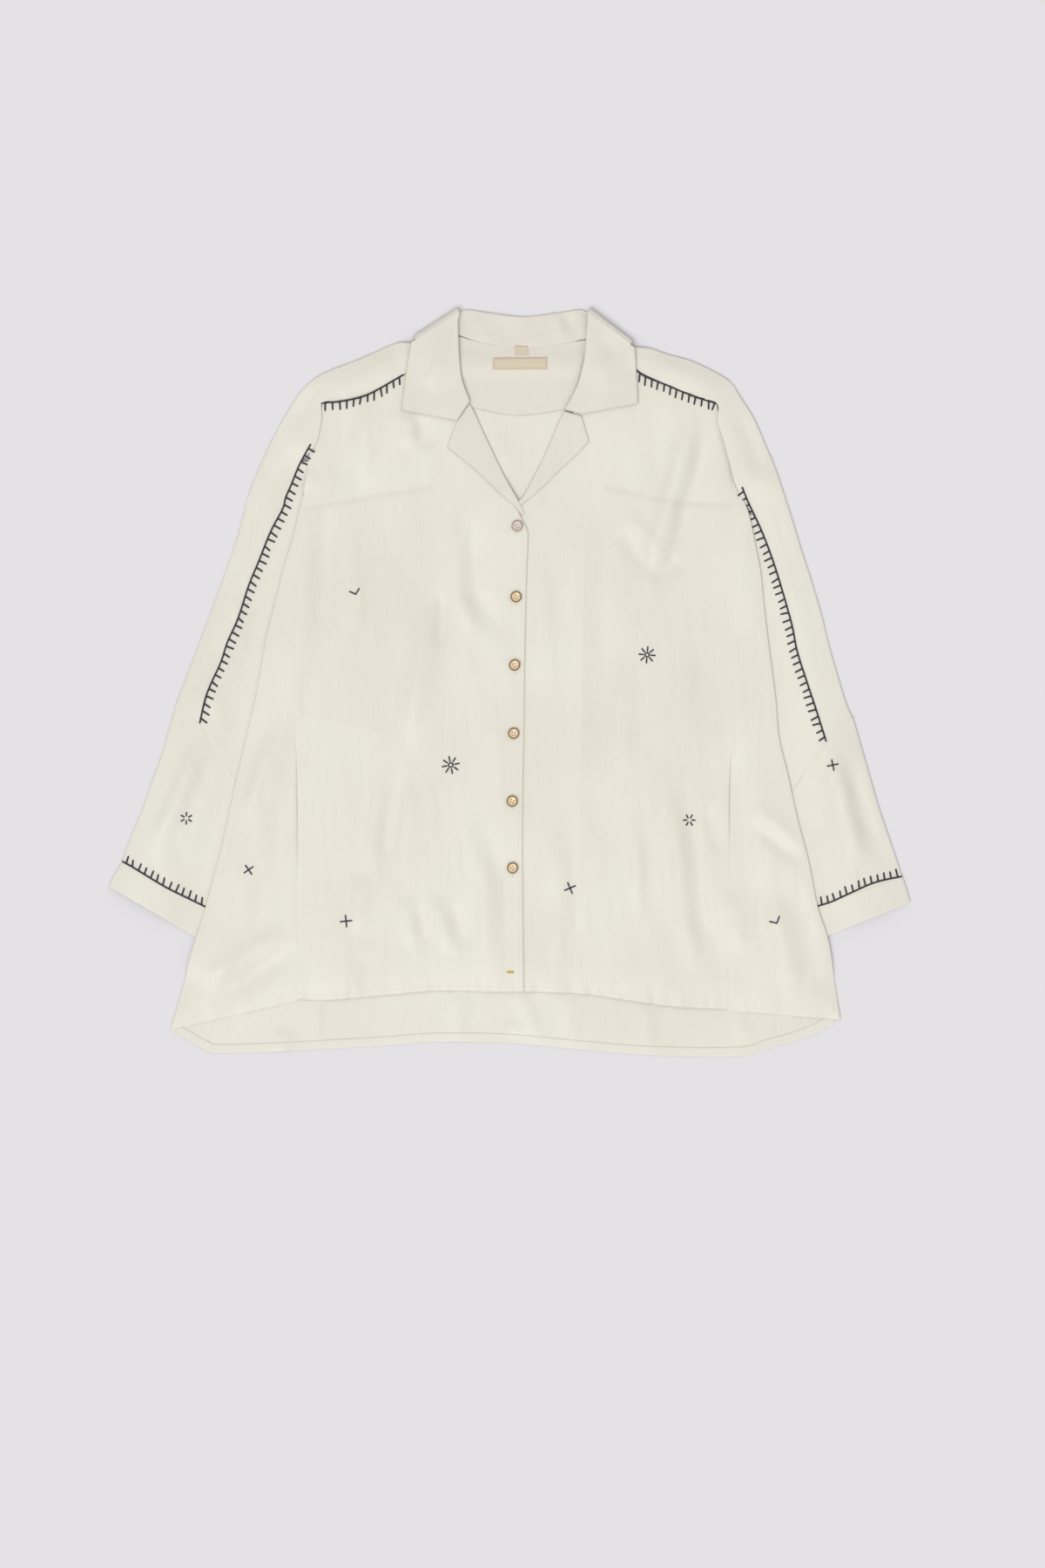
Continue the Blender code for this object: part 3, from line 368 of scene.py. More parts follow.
def turnedSection(seam, fold, back, top, low, flats):
    # across the upper layer from a seam to a fold, round it, and back below
    seam, fold, back = (np.array(p, float) for p in (seam, fold, back))
    outward = (fold - seam) / np.linalg.norm(fold - seam)
    near = fold - outward * turnDepth
    radius = (top(*near) - low(*near)) / 2
    centre = fold - outward * (radius + shell / 2)
    radius = (top(*centre) - low(*centre)) / 2
    over = seam + (centre - seam) * np.linspace(0, 1, flats[0] + 1)[:, None]
    under = centre + (back - centre) * np.linspace(0, 1, flats[1] + 1)[:, None]
    angles = np.linspace(0, math.pi, turnSteps + 1)[1:-1]
    arc = centre + outward * radius * np.sin(angles)[:, None]
    heights = low(*centre) + radius * (1 + np.cos(angles))
    return np.concatenate([raised(over, top), np.c_[arc, heights], raised(under, low)])


def tubeSection(fold, middle, tuck, top, low, flats):
    # all round a flat tube: over the top, round the tucked fold, back below, round the outer fold
    fold, middle, tuck = (np.array(p, float) for p in (fold, middle, tuck))
    outward = (fold - middle) / np.linalg.norm(fold - middle)
    inward = (tuck - middle) / np.linalg.norm(tuck - middle)
    outer = fold - outward * (layers["outerFold"] / 2 + shell / 2)
    inner = tuck - inward * (layers["tuckedFold"] / 2 + shell / 2)
    share = np.linspace(0, 1, flats + 1)[:, None]
    half = outer + (middle - outer) * share[: flats // 2 * 2 : 2]
    over = np.concatenate([half, middle + (inner - middle) * share])
    under = np.concatenate([inner + (middle - inner) * share, middle + (outer - middle) * share[2::2]])
    section = [raised(over, top)]
    for centre, out, angles in ((inner, inward, (1, 2, 3, 4)), (outer, outward, (4, 3, 2, 1))):
        angles = np.array(angles) * math.pi / 5
        height = (top(*centre) - low(*centre)) / 2
        plan = centre + out * height * np.sin(angles)[:, None]
        arc = np.c_[plan, low(*centre) + height * (1 + np.cos(angles))]
        section += [arc, raised(under, low)] if centre is inner else [arc]
    return np.concatenate(section)


# how wide the painted shade along turned borders runs
edgeShadeWidth = 2.0
farAway = 99.0  # beyond any run


def nearBorders(across, down, borders, width):
    # 1 at the turned borders of a piece, where painted shade darkens the edge, falling to 0 over a width
    away = np.full(across.shape, -farAway)
    runs = {"start": across, "end": across[:, -1:] - across, "top": down, "low": down[-1:] - down}
    for border in borders:
        away = np.maximum(away, 1.0 - runs[border] / width)
    return away


def placePiece(name, mesh, finish, nodes=(), at=(0.0, 0.0, 0.0), turn=0.0):
    mesh.materials.append(finish)
    piece = bpy.data.objects.new(name, mesh)
    bpy.context.scene.collection.objects.link(piece)
    piece.location = at
    piece.rotation_euler[2] = turn
    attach(piece, "root")
    if nodes:
        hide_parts(*nodes)
    return piece


def clothPiece(name, grid, finish, nodes, settings, closed=False, thin=None, shadedBorders=()):
    # a shell over rows of places, with its own weave direction, painted shade along its turned borders,
    # and the places where fewer layers lie below
    grid = np.array(grid, float)
    rows, columns = grid.shape[:2]
    spans = columns if closed else columns - 1
    i, j = np.meshgrid(np.arange(rows - 1), np.arange(spans), indexing="ij")
    a, b = i * columns + j, i * columns + (j + 1) % columns
    faces = np.stack([a, a + columns, b + columns, b], axis=-1).reshape(-1, 4)
    mesh = bpy.data.meshes.new(name)
    mesh.from_pydata((grid.reshape(-1, 3) * mm).tolist(), [], faces.tolist())
    mesh.shade_smooth()
    acrossRun = np.cumsum(np.linalg.norm(np.diff(grid, axis=1, prepend=grid[:, :1]), axis=2), axis=1)
    downRun = np.cumsum(np.linalg.norm(np.diff(grid, axis=0, prepend=grid[:1]), axis=2), axis=0)
    uv = np.stack([acrossRun, downRun], axis=-1).reshape(-1, 2) * mm
    weave = mesh.uv_layers.new(name="weave")
    weave.data.foreach_set("uv", uv[faces.reshape(-1)].ravel())
    fewer = thin(grid[..., 0], grid[..., 1]) if thin else np.zeros((rows, columns))
    # the mask for painted shade along the turned borders, where the light falls off round the fold
    edges = nearBorders(acrossRun, downRun, shadedBorders, edgeShadeWidth)
    for mark, amounts in (("fewerLayers", fewer), ("paintedEdgeShade", edges)):
        mesh.attributes.new(mark, "FLOAT", "POINT").data.foreach_set("value", amounts.ravel())
    piece = placePiece(name, mesh, finish, nodes)
    thickness = piece.modifiers.new("silk", "SOLIDIFY")
    thickness.thickness = settings.get("shell", shell) * mm
    thickness.offset = 0.0
    piece.modifiers.new("even shading", "WEIGHTED_NORMAL").weight = 90


def newFinish(name, values):
    finish = bpy.data.materials.new(name)
    finish.use_nodes = True
    shader = finish.node_tree.nodes["Principled BSDF"]
    for key, value in values.items():
        shader.inputs[key].default_value = value
    return finish, finish.node_tree, shader


def fillSocket(tree, socket, value):
    # with a number, a colour or what another node gives
    if isinstance(value, bpy.types.NodeSocket):
        tree.links.new(value, socket)
    else:
        socket.default_value = (*value, 1.0) if socket.type == "RGBA" else value


def addNode(tree, kind, **inputs):
    node = tree.nodes.new("ShaderNode" + kind)
    for key, value in inputs.items():
        fillSocket(tree, node.inputs[key.replace("_", " ")], value)
    return node


def weavePlaces(tree):
    places = addNode(tree, "UVMap")
    places.uv_map = "weave"
    return places.outputs["UV"]


def objectNoise(tree, scale, detail):
    places = addNode(tree, "TexCoord").outputs["Object"]
    return addNode(tree, "TexNoise", Vector=places, Scale=scale, Detail=detail).outputs["Fac"]


def pointMark(tree, name):
    mark = addNode(tree, "Attribute")
    mark.attribute_name = name
    return mark.outputs["Fac"]


def arithmetic(tree, operation, *values):
    node = addNode(tree, "Math")
    node.operation = operation
    for socket, value in zip(node.inputs, values):
        fillSocket(tree, socket, value)
    return node


def mixed(tree, factor, first, second, start=0.0, end=1.0, most=1.0):
    # the first colour up to a start of the factor, the second from its end, as far as the most
    ramp = addNode(tree, "MapRange", Value=factor, From_Min=start, From_Max=end, To_Max=most)
    mix = addNode(tree, "Mix", Factor=ramp.outputs["Result"])
    mix.data_type = "RGBA"
    fillSocket(tree, mix.inputs[6], first)
    fillSocket(tree, mix.inputs[7], second)
    return mix.outputs[2]


def dressShader(tree, shader, colour, height, strength, distance):
    tree.links.new(colour, shader.inputs["Base Color"])
    bump = addNode(tree, "Bump", Height=height, Strength=strength, Distance=distance)
    tree.links.new(bump.outputs["Normal"], shader.inputs["Normal"])


def silkFinish(name, look):
    # slubby silk: streaks along the weave, broad warm patches, painted shade at turned edges, a fine plain
    # weave and a soft sheen
    finish, tree, shader = newFinish(name, {
        "Roughness": look["roughness"],
        "Sheen Weight": look["sheen"],
        "Sheen Roughness": look["sheenRoughness"],
        "Specular IOR Level": look["gloss"],
    })

    def stretched(across, down, detail, rough):
        mapping = addNode(tree, "Mapping", Vector=weavePlaces(tree), Scale=(across, down, 1.0))
        places = mapping.outputs["Vector"]
        noise = addNode(tree, "TexNoise", Vector=places, Scale=1.0, Detail=detail, Roughness=rough)
        return noise.outputs["Fac"]

    slub = stretched(*look["slubNoise"])
    threads = stretched(*look["threadNoise"])
    colour = mixed(tree, objectNoise(tree, 7.0, 2.0), look["colour"], look["warm"], 0.40, 0.64, 0.85)
    colour = mixed(tree, pointMark(tree, "fewerLayers"), colour, look["thin"], most=0.8)
    # painted shade along turned edges: darker and browner where the light falls off round the fold
    colour = mixed(tree, pointMark(tree, "paintedEdgeShade"), colour, look["edge"], most=0.75)
    colour = mixed(tree, slub, colour, look["slub"], 0.5, 0.78, look["streaks"])
    colour = mixed(tree, threads, colour, look["pale"], 0.5, 0.8, look["streaks"])
    height = arithmetic(tree, "ADD", slub, threads).outputs["Value"]
    dressShader(tree, shader, colour, height, look["relief"], 0.0004)
    return finish


silkLook = {
    "colour": (0.800, 0.773, 0.684),
    "warm": (0.775, 0.734, 0.644),
    "thin": (0.738, 0.697, 0.615),
    # painted shade for the turned edges
    "edge": (0.560, 0.490, 0.380),
    "slub": (0.700, 0.660, 0.560),
    "pale": (0.870, 0.850, 0.780),
    "streaks": 0.35,
    "roughness": 0.48,
    "sheen": 0.25,
    "sheenRoughness": 0.35,
    "gloss": 0.4,
    "relief": 0.25,
    # scale across, scale down, detail, roughness
    "slubNoise": (420.0, 14.0, 3.0, 0.6),
    "threadNoise": (1500.0, 60.0, 2.0, 0.5),
}
silk = silkFinish("ivorySilk", silkLook)
collarLook = {**silkLook, "colour": (0.766, 0.722, 0.640), "warm": (0.748, 0.700, 0.618)}
collarSilk = silkFinish("collarSilk", collarLook)
print("silk finishes made")

# Where the light falls through fewer layers: below the inner yoke, above the pocket bags.
singleLayers = {
    "right": [
        (-222, 186), (-160, 198), (-86, 210), (-80, 140), (-73, 20), (-73, -118), (-112, -84), (-135, -54),
        (-228, -34),
    ],
    "left": [
        (106, 210), (178, 193), (240, 190), (235, -28), (142, -54), (110, -76), (82, -94), (81, 80),
        (89, 150),
    ],
}
bagEdge = {
    "right": [
        (-228, -34), (-182, -44), (-135, -54), (-110, -84), (-80, -121), (-76, -146), (-80, -170),
        (-110, -196),
    ],
    "left": [
        (238, -28), (190, -40), (142, -54), (118, -82), (90, -119), (86, -142), (90, -164), (118, -190),
    ],
}
# how much each shows, and over which distance
seenThrough = {"area": (0.25, 5.0), "yokeLine": (0.75, 6.0), "bagLine": (0.4, 4.0)}


def frontThin(side):
    def near(kind, away):
        share, run = seenThrough[kind]
        return share * ease(1.0 - away / run)

    def share(x, y):
        area = near("area", areaDistance(x, y, singleLayers[side]))
        yokeLine = near("yokeLine", lineDistance(x, y, singleLayers[side][:3])[0])
        return np.maximum(area + yokeLine, near("bagLine", lineDistance(x, y, bagEdge[side])[0]))

    return share


# The fronts: inner edge with the roll line, outer edge at the side seam, hem
front = {
    "inner": {
        "right": [
            (-81, 351.5), (-74, 325), (-62, 304), (-48, 299), (-32, 267), (-12.5, 225), (5, 194), (13, 178),
            (20, 163), (20.5, 149), (19, 117), (17, 25), (16, -57), (14.5, -178), (16, -339),
        ],
        "left": [
            (106, 355), (97, 322), (82, 302), (64, 288.5), (49.5, 258), (31, 220.5), (19, 197), (2, 184),
            (-6, 174), (-9, 160), (-9, 40), (-9, -120), (-9, -338),
        ],
    },
    "outer": {
        "right": [
            (-204, 301.5), (-210, 276), (-216.5, 257), (-223.5, 210), (-229, 180), (-231, 150), (-232, 60),
            (-232.5, -60), (-231.5, -226), (-230.5, -347.5),
        ],
        "left": [
            (226, 301), (231, 278), (237.5, 262), (239, 250), (242, 212), (243.3, 182), (243.3, 118),
            (242.8, 80), (241.4, -66), (239.4, -223), (238, -359),
        ],
    },
    "hem": {
        "right": [(16, -339), (-4, -340), (-78, -339), (-131, -343), (-199, -349), (-230.5, -347.5)],
        "left": [(-9, -338), (16, -339.5), (78, -342), (129, -349), (180, -356), (238, -359)],
    },
    "columns": 84,
    "rows": 230,
    "cut": (0.255, 0.715),
    "area": 0.155,
    "held": "laid",
    "restsOn": ["backPanel"],
}

# The side panels: front seam, outer edge, back seam
sidePanel = {
    "rows": {
        "right": [
            (-223.5, 202, -225.5, 202, -217, 202), (-230, 172, -232.5, 172, -226, 172),
            (-232, 150, -238, 150, -228, 150), (-231.5, 128, -245, 127, -221, 128),
            (-232, 90, -255, 88, -222, 84), (-232.5, 44, -266, 42, -229, 42),
            (-233, -10, -276, -14, -238, -14), (-233, -62, -289, -70, -250, -70),
            (-233, -112, -300, -118, -262, -118), (-232.5, -160, -311, -169, -274, -169),
            (-232, -204, -323, -216, -285, -216), (-232, -244, -335, -259, -297, -264),
            (-231.5, -282, -346, -293, -308, -304), (-231.5, -316, -357, -336, -319, -350),
            (-231, -347.5, -370, -380.5, -331, -403),
        ],
        "left": [
            (236, 268, 237.5, 266, 230, 266), (239.5, 250, 243.5, 244, 237.5, 244),
            (242.5, 212, 252, 209, 246, 209), (244, 182, 261.5, 180, 255, 180),
            (244, 150, 268, 149, 258, 150), (244, 118, 274, 118, 258, 118), (243.5, 80, 278, 77, 252, 78),
            (243, 40, 283, 36, 249, 36), (242.5, -6, 290, -18, 252, -18), (242, -54, 294, -62, 256, -66),
            (241.5, -100, 304, -104, 266, -110), (241, -146, 314, -150, 277, -152),
            (240.5, -192, 326, -196, 286, -200), (240, -238, 336, -246, 293, -250),
            (239.5, -284, 348, -284, 302, -292), (239, -326, 355, -331, 314, -344),
            (238.5, -359, 361, -369.5, 325, -388),
        ],
    },
    "step": 4.0,
    "flats": (28, 22),
    "lap": 3.4,  # how far it goes under the front and over the back
    # how deep it dips there, within which distance, and among which places of a section
    "frontDip": (0.6, 5.0, 12),
    "backDip": (0.42, 6.0, 40),
    "cut": (0.19, 0.64),
    "area": 0.062,
    "held": "folded",
    "restsOn": ["floor"],
}

# The hem and the outer edges, which the cloth curves down to
hemPath = [sidePanel["rows"]["right"][-1][2:4], *front["hem"]["right"][::-1], *front["hem"]["left"][1:]]
hemPath.append(sidePanel["rows"]["left"][-1][2:4])
edgePaths = {side: [row[2:4] for row in rows] for side, rows in sidePanel["rows"].items()}

# The back, its neck facing and its hem band
back = {
    "neckLine": [(-57, 375.5), (-30, 369), (11, 363.5), (52, 367.5), (86, 371.5)],
    "hem": [
        (-329.5, -403.5), (-315, -406), (-252, -404), (-144, -398), (-78, -393.5), (2, -395), (78, -402),
        (154, -408), (250, -409), (281, -401), (323.5, -388.5),
    ],
    "side": {
        "right": [
            (-202, 300), (-208, 276), (-213, 257), (-219, 213), (-220, 176), (-218, 128), (-220, 84),
            (-227, 42), (-236, -14), (-248, -70), (-260, -118), (-272, -169), (-283, -216), (-295, -264),
            (-306, -304), (-317, -350), (-329.5, -403.5),
        ],
        "left": [
            (225, 300), (229, 280), (234, 263), (236, 244), (244, 209), (253, 180), (256, 150), (256, 118),
            (250, 78), (247, 36), (250, -18), (252.5, -66), (263, -110), (275, -152), (284, -200),
            (291, -250), (300, -292), (312, -344), (323.5, -388.5),
        ],
    },
    "bandDepth": 9.5,
    "columns": 165,
    "rows": 200,
    "cut": (0.655, 0.79),
    "area": 0.41,
    "held": "laid",
    "restsOn": ["floor"],
}

# The sleeves: the saddle from the neck to the elbow, the wedge under the stitched seam, the forearm.
sleeve = {
    # seam x, seam y, fold x, fold y
    "saddle": {
        "right": [
            (-82, 352.5, -85.5, 382.5), (-98, 343, -96.5, 374.2), (-116, 333, -106, 368.5),
            (-130, 325, -121, 368.5), (-145, 316, -140, 361), (-163, 308, -165, 350),
            (-188, 304, -194, 339), (-204, 302, -213, 329), (-205, 283, -230, 312), (-212, 256, -249, 281),
            (-229, 235, -265, 250), (-245, 193, -283, 207), (-260, 162, -292, 174), (-274, 129, -302, 140),
            (-295, 68, -324, 79), (-314, 19, -342, 31), (-325, -3, -351, 7), (-337, -46, -363, -24),
        ],
        "left": [
            (107, 356, 112.5, 381.5), (124, 347.5, 124.5, 372), (139, 338, 135.5, 364),
            (155, 330, 153, 362.5), (172, 322, 170, 356.5), (202, 309, 202, 347), (226, 302, 238, 328),
            (227, 283, 252, 309), (233, 263, 267, 285), (241, 233, 281, 253), (249, 208, 292, 226),
            (275, 164, 309, 174), (287, 132, 318, 144), (297, 98, 329, 110), (308, 60, 341, 70),
            (314, 32, 348, 40), (332, -27, 366, -21), (345, -66, 375, -42),
        ],
    },
    # seam x, seam y, tucked fold x, tucked fold y
    "wedge": {
        "right": [
            (-227, 239, -213, 238), (-238, 212, -216, 212), (-247, 188, -218, 183), (-260, 162, -220, 150),
            (-274, 129, -222, 112), (-283, 103, -225, 82), (-295, 68, -230, 42), (-314, 19, -240, -14),
            (-325, -3, -248, -56), (-330, -21, -258, -100), (-337, -46, -272, -156),
        ],
        "left": [
            (266, 182, 259, 179), (275, 164, 260, 158), (287, 132, 258, 120), (297, 98, 252, 80),
            (308, 60, 250, 40), (314, 32, 251, 8), (323, 1, 253, -36), (332, -27, 258, -76),
            (339, -47, 269, -120), (345, -66, 281, -165),
        ],
    },
    # fold x, fold y, middle x, middle y, tucked fold x, tucked fold y
    "forearm": {
        "right": [
            (-363, -24, -337, -46, -272, -156), (-378, -77, -343, -99, -278, -182),
            (-390, -111, -351, -137, -283, -204), (-400, -140, -361, -168, -288, -224),
            (-413, -171, -372, -196, -293, -246), (-422, -197, -380, -220, -297, -266),
        ],
        "left": [
            (375, -42, 345, -66, 281, -165), (390, -94, 353, -117, 284, -186),
            (400, -129, 361, -151, 287, -206), (409, -157, 368, -178, 290, -225),
            (418, -183, 375, -203, 293, -243), (428, -213, 382, -229, 295, -261),
        ],
    },
    "step": 4.0,
}
cuff = {
    # fold x, fold y, middle x, middle y, tucked fold x, tucked fold y
    "rows": {
        "right": [
            (-422, -197, -380, -220, -297, -266), (-430, -210, -389, -233, -306, -281),
            (-437, -224, -396, -247, -314, -296),
        ],
        "left": [
            (428, -213, 382, -229, 295, -261), (433, -227, 387, -244, 300, -278),
            (437, -241, 393, -259, 305, -295),
        ],
    },
    "step": 3.0,
}

saddleEdge = {
    "right": [(row[0], row[1] - 1.0) for row in sleeve["saddle"]["right"][0:7]][::-1],
    "left": [(row[0], row[1] - 1.0) for row in sleeve["saddle"]["left"][0:6]],
}
backTop = [back["side"]["right"][0], *saddleEdge["right"], *back["neckLine"], *saddleEdge["left"]]
backTop.append(back["side"]["left"][0])
backPlan = fillOutline(
    backTop,
    smoothRows(back["hem"], 4.0),
    smoothRows(back["side"]["right"], 4.0),
    smoothRows(back["side"]["left"], 4.0),
    back["columns"],
    back["rows"],
)
clothPiece("backPanel", raised(backPlan, backSurface), silk, ["back"], back)


def above(lift):
    return lambda x, y: backSurface(x, y) + lift


facing = {
    "low": [
        (-52, 299.5), (-39, 297), (-22, 293), (-7, 290.2), (12, 288.8), (41, 291.7), (58, 295), (68, 298),
    ],
    "lift": 0.75,
    "cut": (0.152, 0.086),
    "area": 0.0105,
    "held": "laid",
    "restsOn": ["backPanel"],
}
top, low = smoothRows(back["neckLine"], 3.0), smoothRows(facing["low"], 3.0)
plan = fillOutline(top, low, [top[0], low[0]], [top[-1], low[-1]], 48, 26)
grid = raised(plan, above(facing["lift"]))
# its low border gets painted shade along the turned edge
clothPiece("backNeckFacing", grid, collarSilk, ["back_neck_facing"], facing, shadedBorders=("low",))

hemBand = {
    "ends": [(-364, -384), (355, -372.5)],
    "narrowing": 0.994,
    "lift": 0.55,
    "cut": (0.75, 0.0105),
    "area": 0.0074,
    "held": "laid",
    "restsOn": ["backPanel"],
}
low = smoothRows([hemBand["ends"][0], *back["hem"], hemBand["ends"][1]], 4.0)
top = low + np.array([0.0, back["bandDepth"]])
top[:, 0] *= hemBand["narrowing"]
plan = fillOutline(top, low, [top[0], low[0]], [top[-1], low[-1]], 200, 5)
clothPiece("backHemBand", raised(plan, above(hemBand["lift"])), silk, ["back_hem_band"], hemBand)
print("back made")

# The pockets in the side seams: how far they gape, and between which heights
pocket = {
    "gape": 1.9,
    "dip": 1.7,
    "spread": {"right": (-272, -54), "left": (-226, -66)},
    "widest": 0.62,  # share of the way up
}


def gape(side, y):
    low, high = pocket["spread"][side]
    t = np.clip((y - low) / (high - low), 0.0, 1.0)
    return pocket["gape"] * np.sin(math.pi * t ** (0.69 / -math.log(pocket["widest"]))) ** 1.3


for side in ("right", "left"):
    inner = smoothRows(front["inner"][side], 4.0, (3,) if side == "left" else (2, 3))
    outer = smoothRows(front["outer"][side], 4.0)
    below = outer[:, 1] < sidePanel["rows"][side][0][1]
    seam = smoothRows([row[0:2] for row in sidePanel["rows"][side]], 4.0)[::-1]
    outer[below, 0] = np.interp(outer[below, 1], seam[:, 1], seam[:, 0])
    outer[:, 0] += (gape(side, outer[:, 1]) + layers["seamGap"] / 2) * (1 if side == "right" else -1)
    seamLine = saddleEdge[side][::-1] if side == "right" else saddleEdge[side]
    top = [tuple(inner[0]), *seamLine[1:], tuple(outer[0])]
    hem = smoothRows(front["hem"][side], 4.0)
    plan = fillOutline(top, hem, inner, outer, front["columns"], front["rows"])
    grid = facingOut(raised(plan, bodySurface(side)), side == "right")
    # the borders that get painted shade along their turned edges
    borders = ("end", "low") if side == "right" else ("low",)
    clothPiece(side + "Front", grid, silk, [f"front_{side}"], front, thin=frontThin(side), shadedBorders=borders)
print("fronts made")

for side, inwards in (("right", 1.0), ("left", -1.0)):
    sections = []
    frontDip, frontRun, frontLast = sidePanel["frontDip"]
    backDip, backRun, backFirst = sidePanel["backDip"]
    for row in smoothRows(sidePanel["rows"][side], sidePanel["step"]):
        seam, backSeam = np.array(row[0:2]), np.array(row[4:6])
        opened = gape(side, seam[1]) / pocket["gape"]
        seam[0] += inwards * sidePanel["lap"]
        backSeam[0] += inwards * sidePanel["lap"]
        section = turnedSection(seam, row[2:4], backSeam, leftSurface, backSurface, sidePanel["flats"])
        number = np.arange(len(section))
        fromSeam = np.where(number > frontLast, farAway, np.linalg.norm(section[:, 0:2] - seam, axis=1))
        fromBack = np.where(number < backFirst, farAway, np.linalg.norm(section[:, 0:2] - backSeam, axis=1))
        section[:, 2] -= (frontDip + pocket["dip"] * opened) * ease(1.0 - fromSeam / frontRun)
        section[:, 2] -= backDip * ease(1.0 - fromBack / backRun)
        sections.append(section)
    grid = facingOut(sections, side == "right")
    clothPiece(side + "SidePanel", grid, silk, [f"side_panel_{side}"], sidePanel)
print("side panels made")

saddle = {"cut": (0.16, 0.56), "area": 0.038, "held": "folded", "restsOn": ["floor"]}
wedge = {"cut": (0.19, 0.42), "area": 0.041, "held": "folded", "restsOn": ["floor"]}
forearm = {"cut": (0.33, 0.22), "area": 0.042, "held": "folded", "restsOn": ["floor"]}
cuffBand = {"cut": (0.29, 0.034), "area": 0.0094, "held": "folded", "restsOn": ["floor"]}
# the lap of a cuff or forearm under the piece before it, and its flats
tubeLap = {"length": 1.6, "share": 0.72, "flats": 28}
for side in ("right", "left"):
    top = sleeveSurface(side)
    for name, table, flats, node, settings, turned in (
        ("SaddleSleeve", "saddle", (12, 8), f"sleeve_upper_{side}", saddle, side == "right"),
        ("UnderSleeve", "wedge", (26, 20), f"sleeve_under_{side}", wedge, side == "left"),
    ):
        sections = []
        for row in smoothRows(sleeve[table][side], sleeve["step"]):
            sections.append(turnedSection(row[0:2], row[2:4], row[0:2], top, sleeveBack, flats))
        clothPiece(side + name, facingOut(sections, turned), silk, [node], settings)
    for name, table, step, node, settings in (
        ("Forearm", sleeve["forearm"][side], sleeve["step"], f"sleeve_lower_{side}", forearm),
        ("Cuff", cuff["rows"][side], cuff["step"], f"cuff_{side}", cuffBand),
    ):
        sections = []
        for row in smoothRows(table, step):
            sections.append(tubeSection(row[0:2], row[2:4], row[4:6], top, sleeveBack, tubeLap["flats"]))
        tucked = sections[0].copy()
        tucked[:, 1] += tubeLap["length"]
        middle = (tucked[:, 2].max() + tucked[:, 2].min()) / 2
        tucked[:, 2] = middle + (tucked[:, 2] - middle) * tubeLap["share"]
        grid = facingOut([tucked, *sections], side == "left")
        clothPiece(side + name, grid, silk, [node], settings, closed=True)
print("sleeves made")

# The lapels: roll line, edge, and how deep each is tucked inside the front
lapel = {
    # roll x, roll y, edge x, edge y, depth tucked inside
    "rows": {
        "right": [
            (-43.5, 302.5, -57.5, 281.5, 10), (-37, 290, -68, 254, 16), (-28, 270, -53, 242, 18),
            (-18, 249, -37, 229, 18), (-8, 228, -22, 214.5, 14), (2, 209.5, -7, 200, 9),
            (9, 197, 3, 191, 6), (13.5, 188.5, 9.5, 184.5, 3), (16.5, 181.5, 14, 179, 1.5),
        ],
        "left": [
            (59.5, 293.5, 78.5, 288.5, 12), (53, 280, 87, 260, 18), (45, 261, 72, 244.5, 18),
            (36, 241, 54, 228, 16), (27, 223.5, 40.5, 214, 12), (20, 210, 29, 204, 8),
            (14.5, 200.5, 21.5, 197.5, 6), (9, 194.5, 15, 191.5, 4), (4, 188, 8.5, 185.5, 2),
        ],
    },
    "step": 2.5,
    "tuck": 1.0,
    # heights over and under the front at the roll's low end, and what a run above it adds
    "top": (0.45, 0.85),
    "low": (-0.4, -0.6),
    "from": 194.0,
    "run": 16.0,
    "cut": (0.066, 0.125),
    "area": 0.0056,
    "held": "folded",
    "restsOn": ["rightFront", "leftFront"],
    "slot": "collar_silk",
}


def lapelLevel(side, layer):
    surface = bodySurface(side)
    lift, more = lapel[layer]
    return lambda x, y: surface(x, y) + lift + more * ease((y - lapel["from"]) / lapel["run"])


for side in ("right", "left"):
    sections = []
    for row in smoothRows(lapel["rows"][side], lapel["step"], (1,)):
        roll, edge = row[0:2], row[2:4]
        inward = (edge - roll) / np.linalg.norm(edge - roll)
        tucked = roll + inward * (row[4] + lapel["tuck"])
        levels = lapelLevel(side, "top"), lapelLevel(side, "low")
        sections.append(turnedSection(edge, roll, tucked, *levels, (14, 5)))
    grid = facingOut(sections, side == "left")
    # the borders that get painted shade along their turned edges
    borders = ("start", "top") if side == "right" else ("end", "top")
    clothPiece(side + "Lapel", grid, collarSilk, [f"front_facing_{side}"], lapel, shadedBorders=borders)
print("lapels made")

# The collar: leaves in front, over both shoulders and round the back of the neck
collar = {
    # roll x, roll y, edge x, edge y, turn over the shoulder, stand, how far the fall settles
    "rows": [
        (-43, 304, -118, 294, 0, 9, 1), (-51.5, 328, -115, 318, 0, 17, 1),
        (-54.5, 352, -112, 341, 0, 22, 1), (-55.5, 374, -109, 358, 0, 25, 0.6),
        (-56, 391, -107, 368, 0, 27, 0.2),
        *[(-57, 406, -105, 375, turn, 28, 0) for turn in (0, 45, 90, 135, 180)],
        (-45, 404.5, -70, 358, 180, 25, 0), (-22, 401, -34, 353, 180, 28, 0),
        (15, 397, 13, 350, 180, 28.5, 0), (52, 401, 62, 353, 180, 29, 0), (75, 404.5, 100, 358, 180, 28, 0),
        *[(88, 406, 135, 370, turn, 29, 0) for turn in (180, 135, 90, 45, 0)],
        (85, 392, 136.5, 362, 0, 27, 0.2), (83.5, 373, 137.5, 349, 0, 25, 0.6),
        (81, 349, 138.5, 333, 0, 22, 1), (73.5, 321, 139.5, 316, 0, 17, 1), (60, 295, 140, 301, 0, 9, 1),
    ],
    "corners": (4, 20),  # the rows where the leaves turn over the shoulders
    "bends": {-43: (-57, 283), 60: (79, 290)},  # of the end rows, by their roll x
    "bendShare": 0.25,
    "settleRun": (5.0, 15.0),
    "standLap": 4.0,
    "standDrop": 1.0,
    "rumple": (0.5, 0.3),
    "cut": (0.48, 0.108),
    "area": 0.034,
    "held": "folded",
    "restsOn": ["rightFront", "leftFront", "backPanel"],
    "slot": "collar_silk",
}


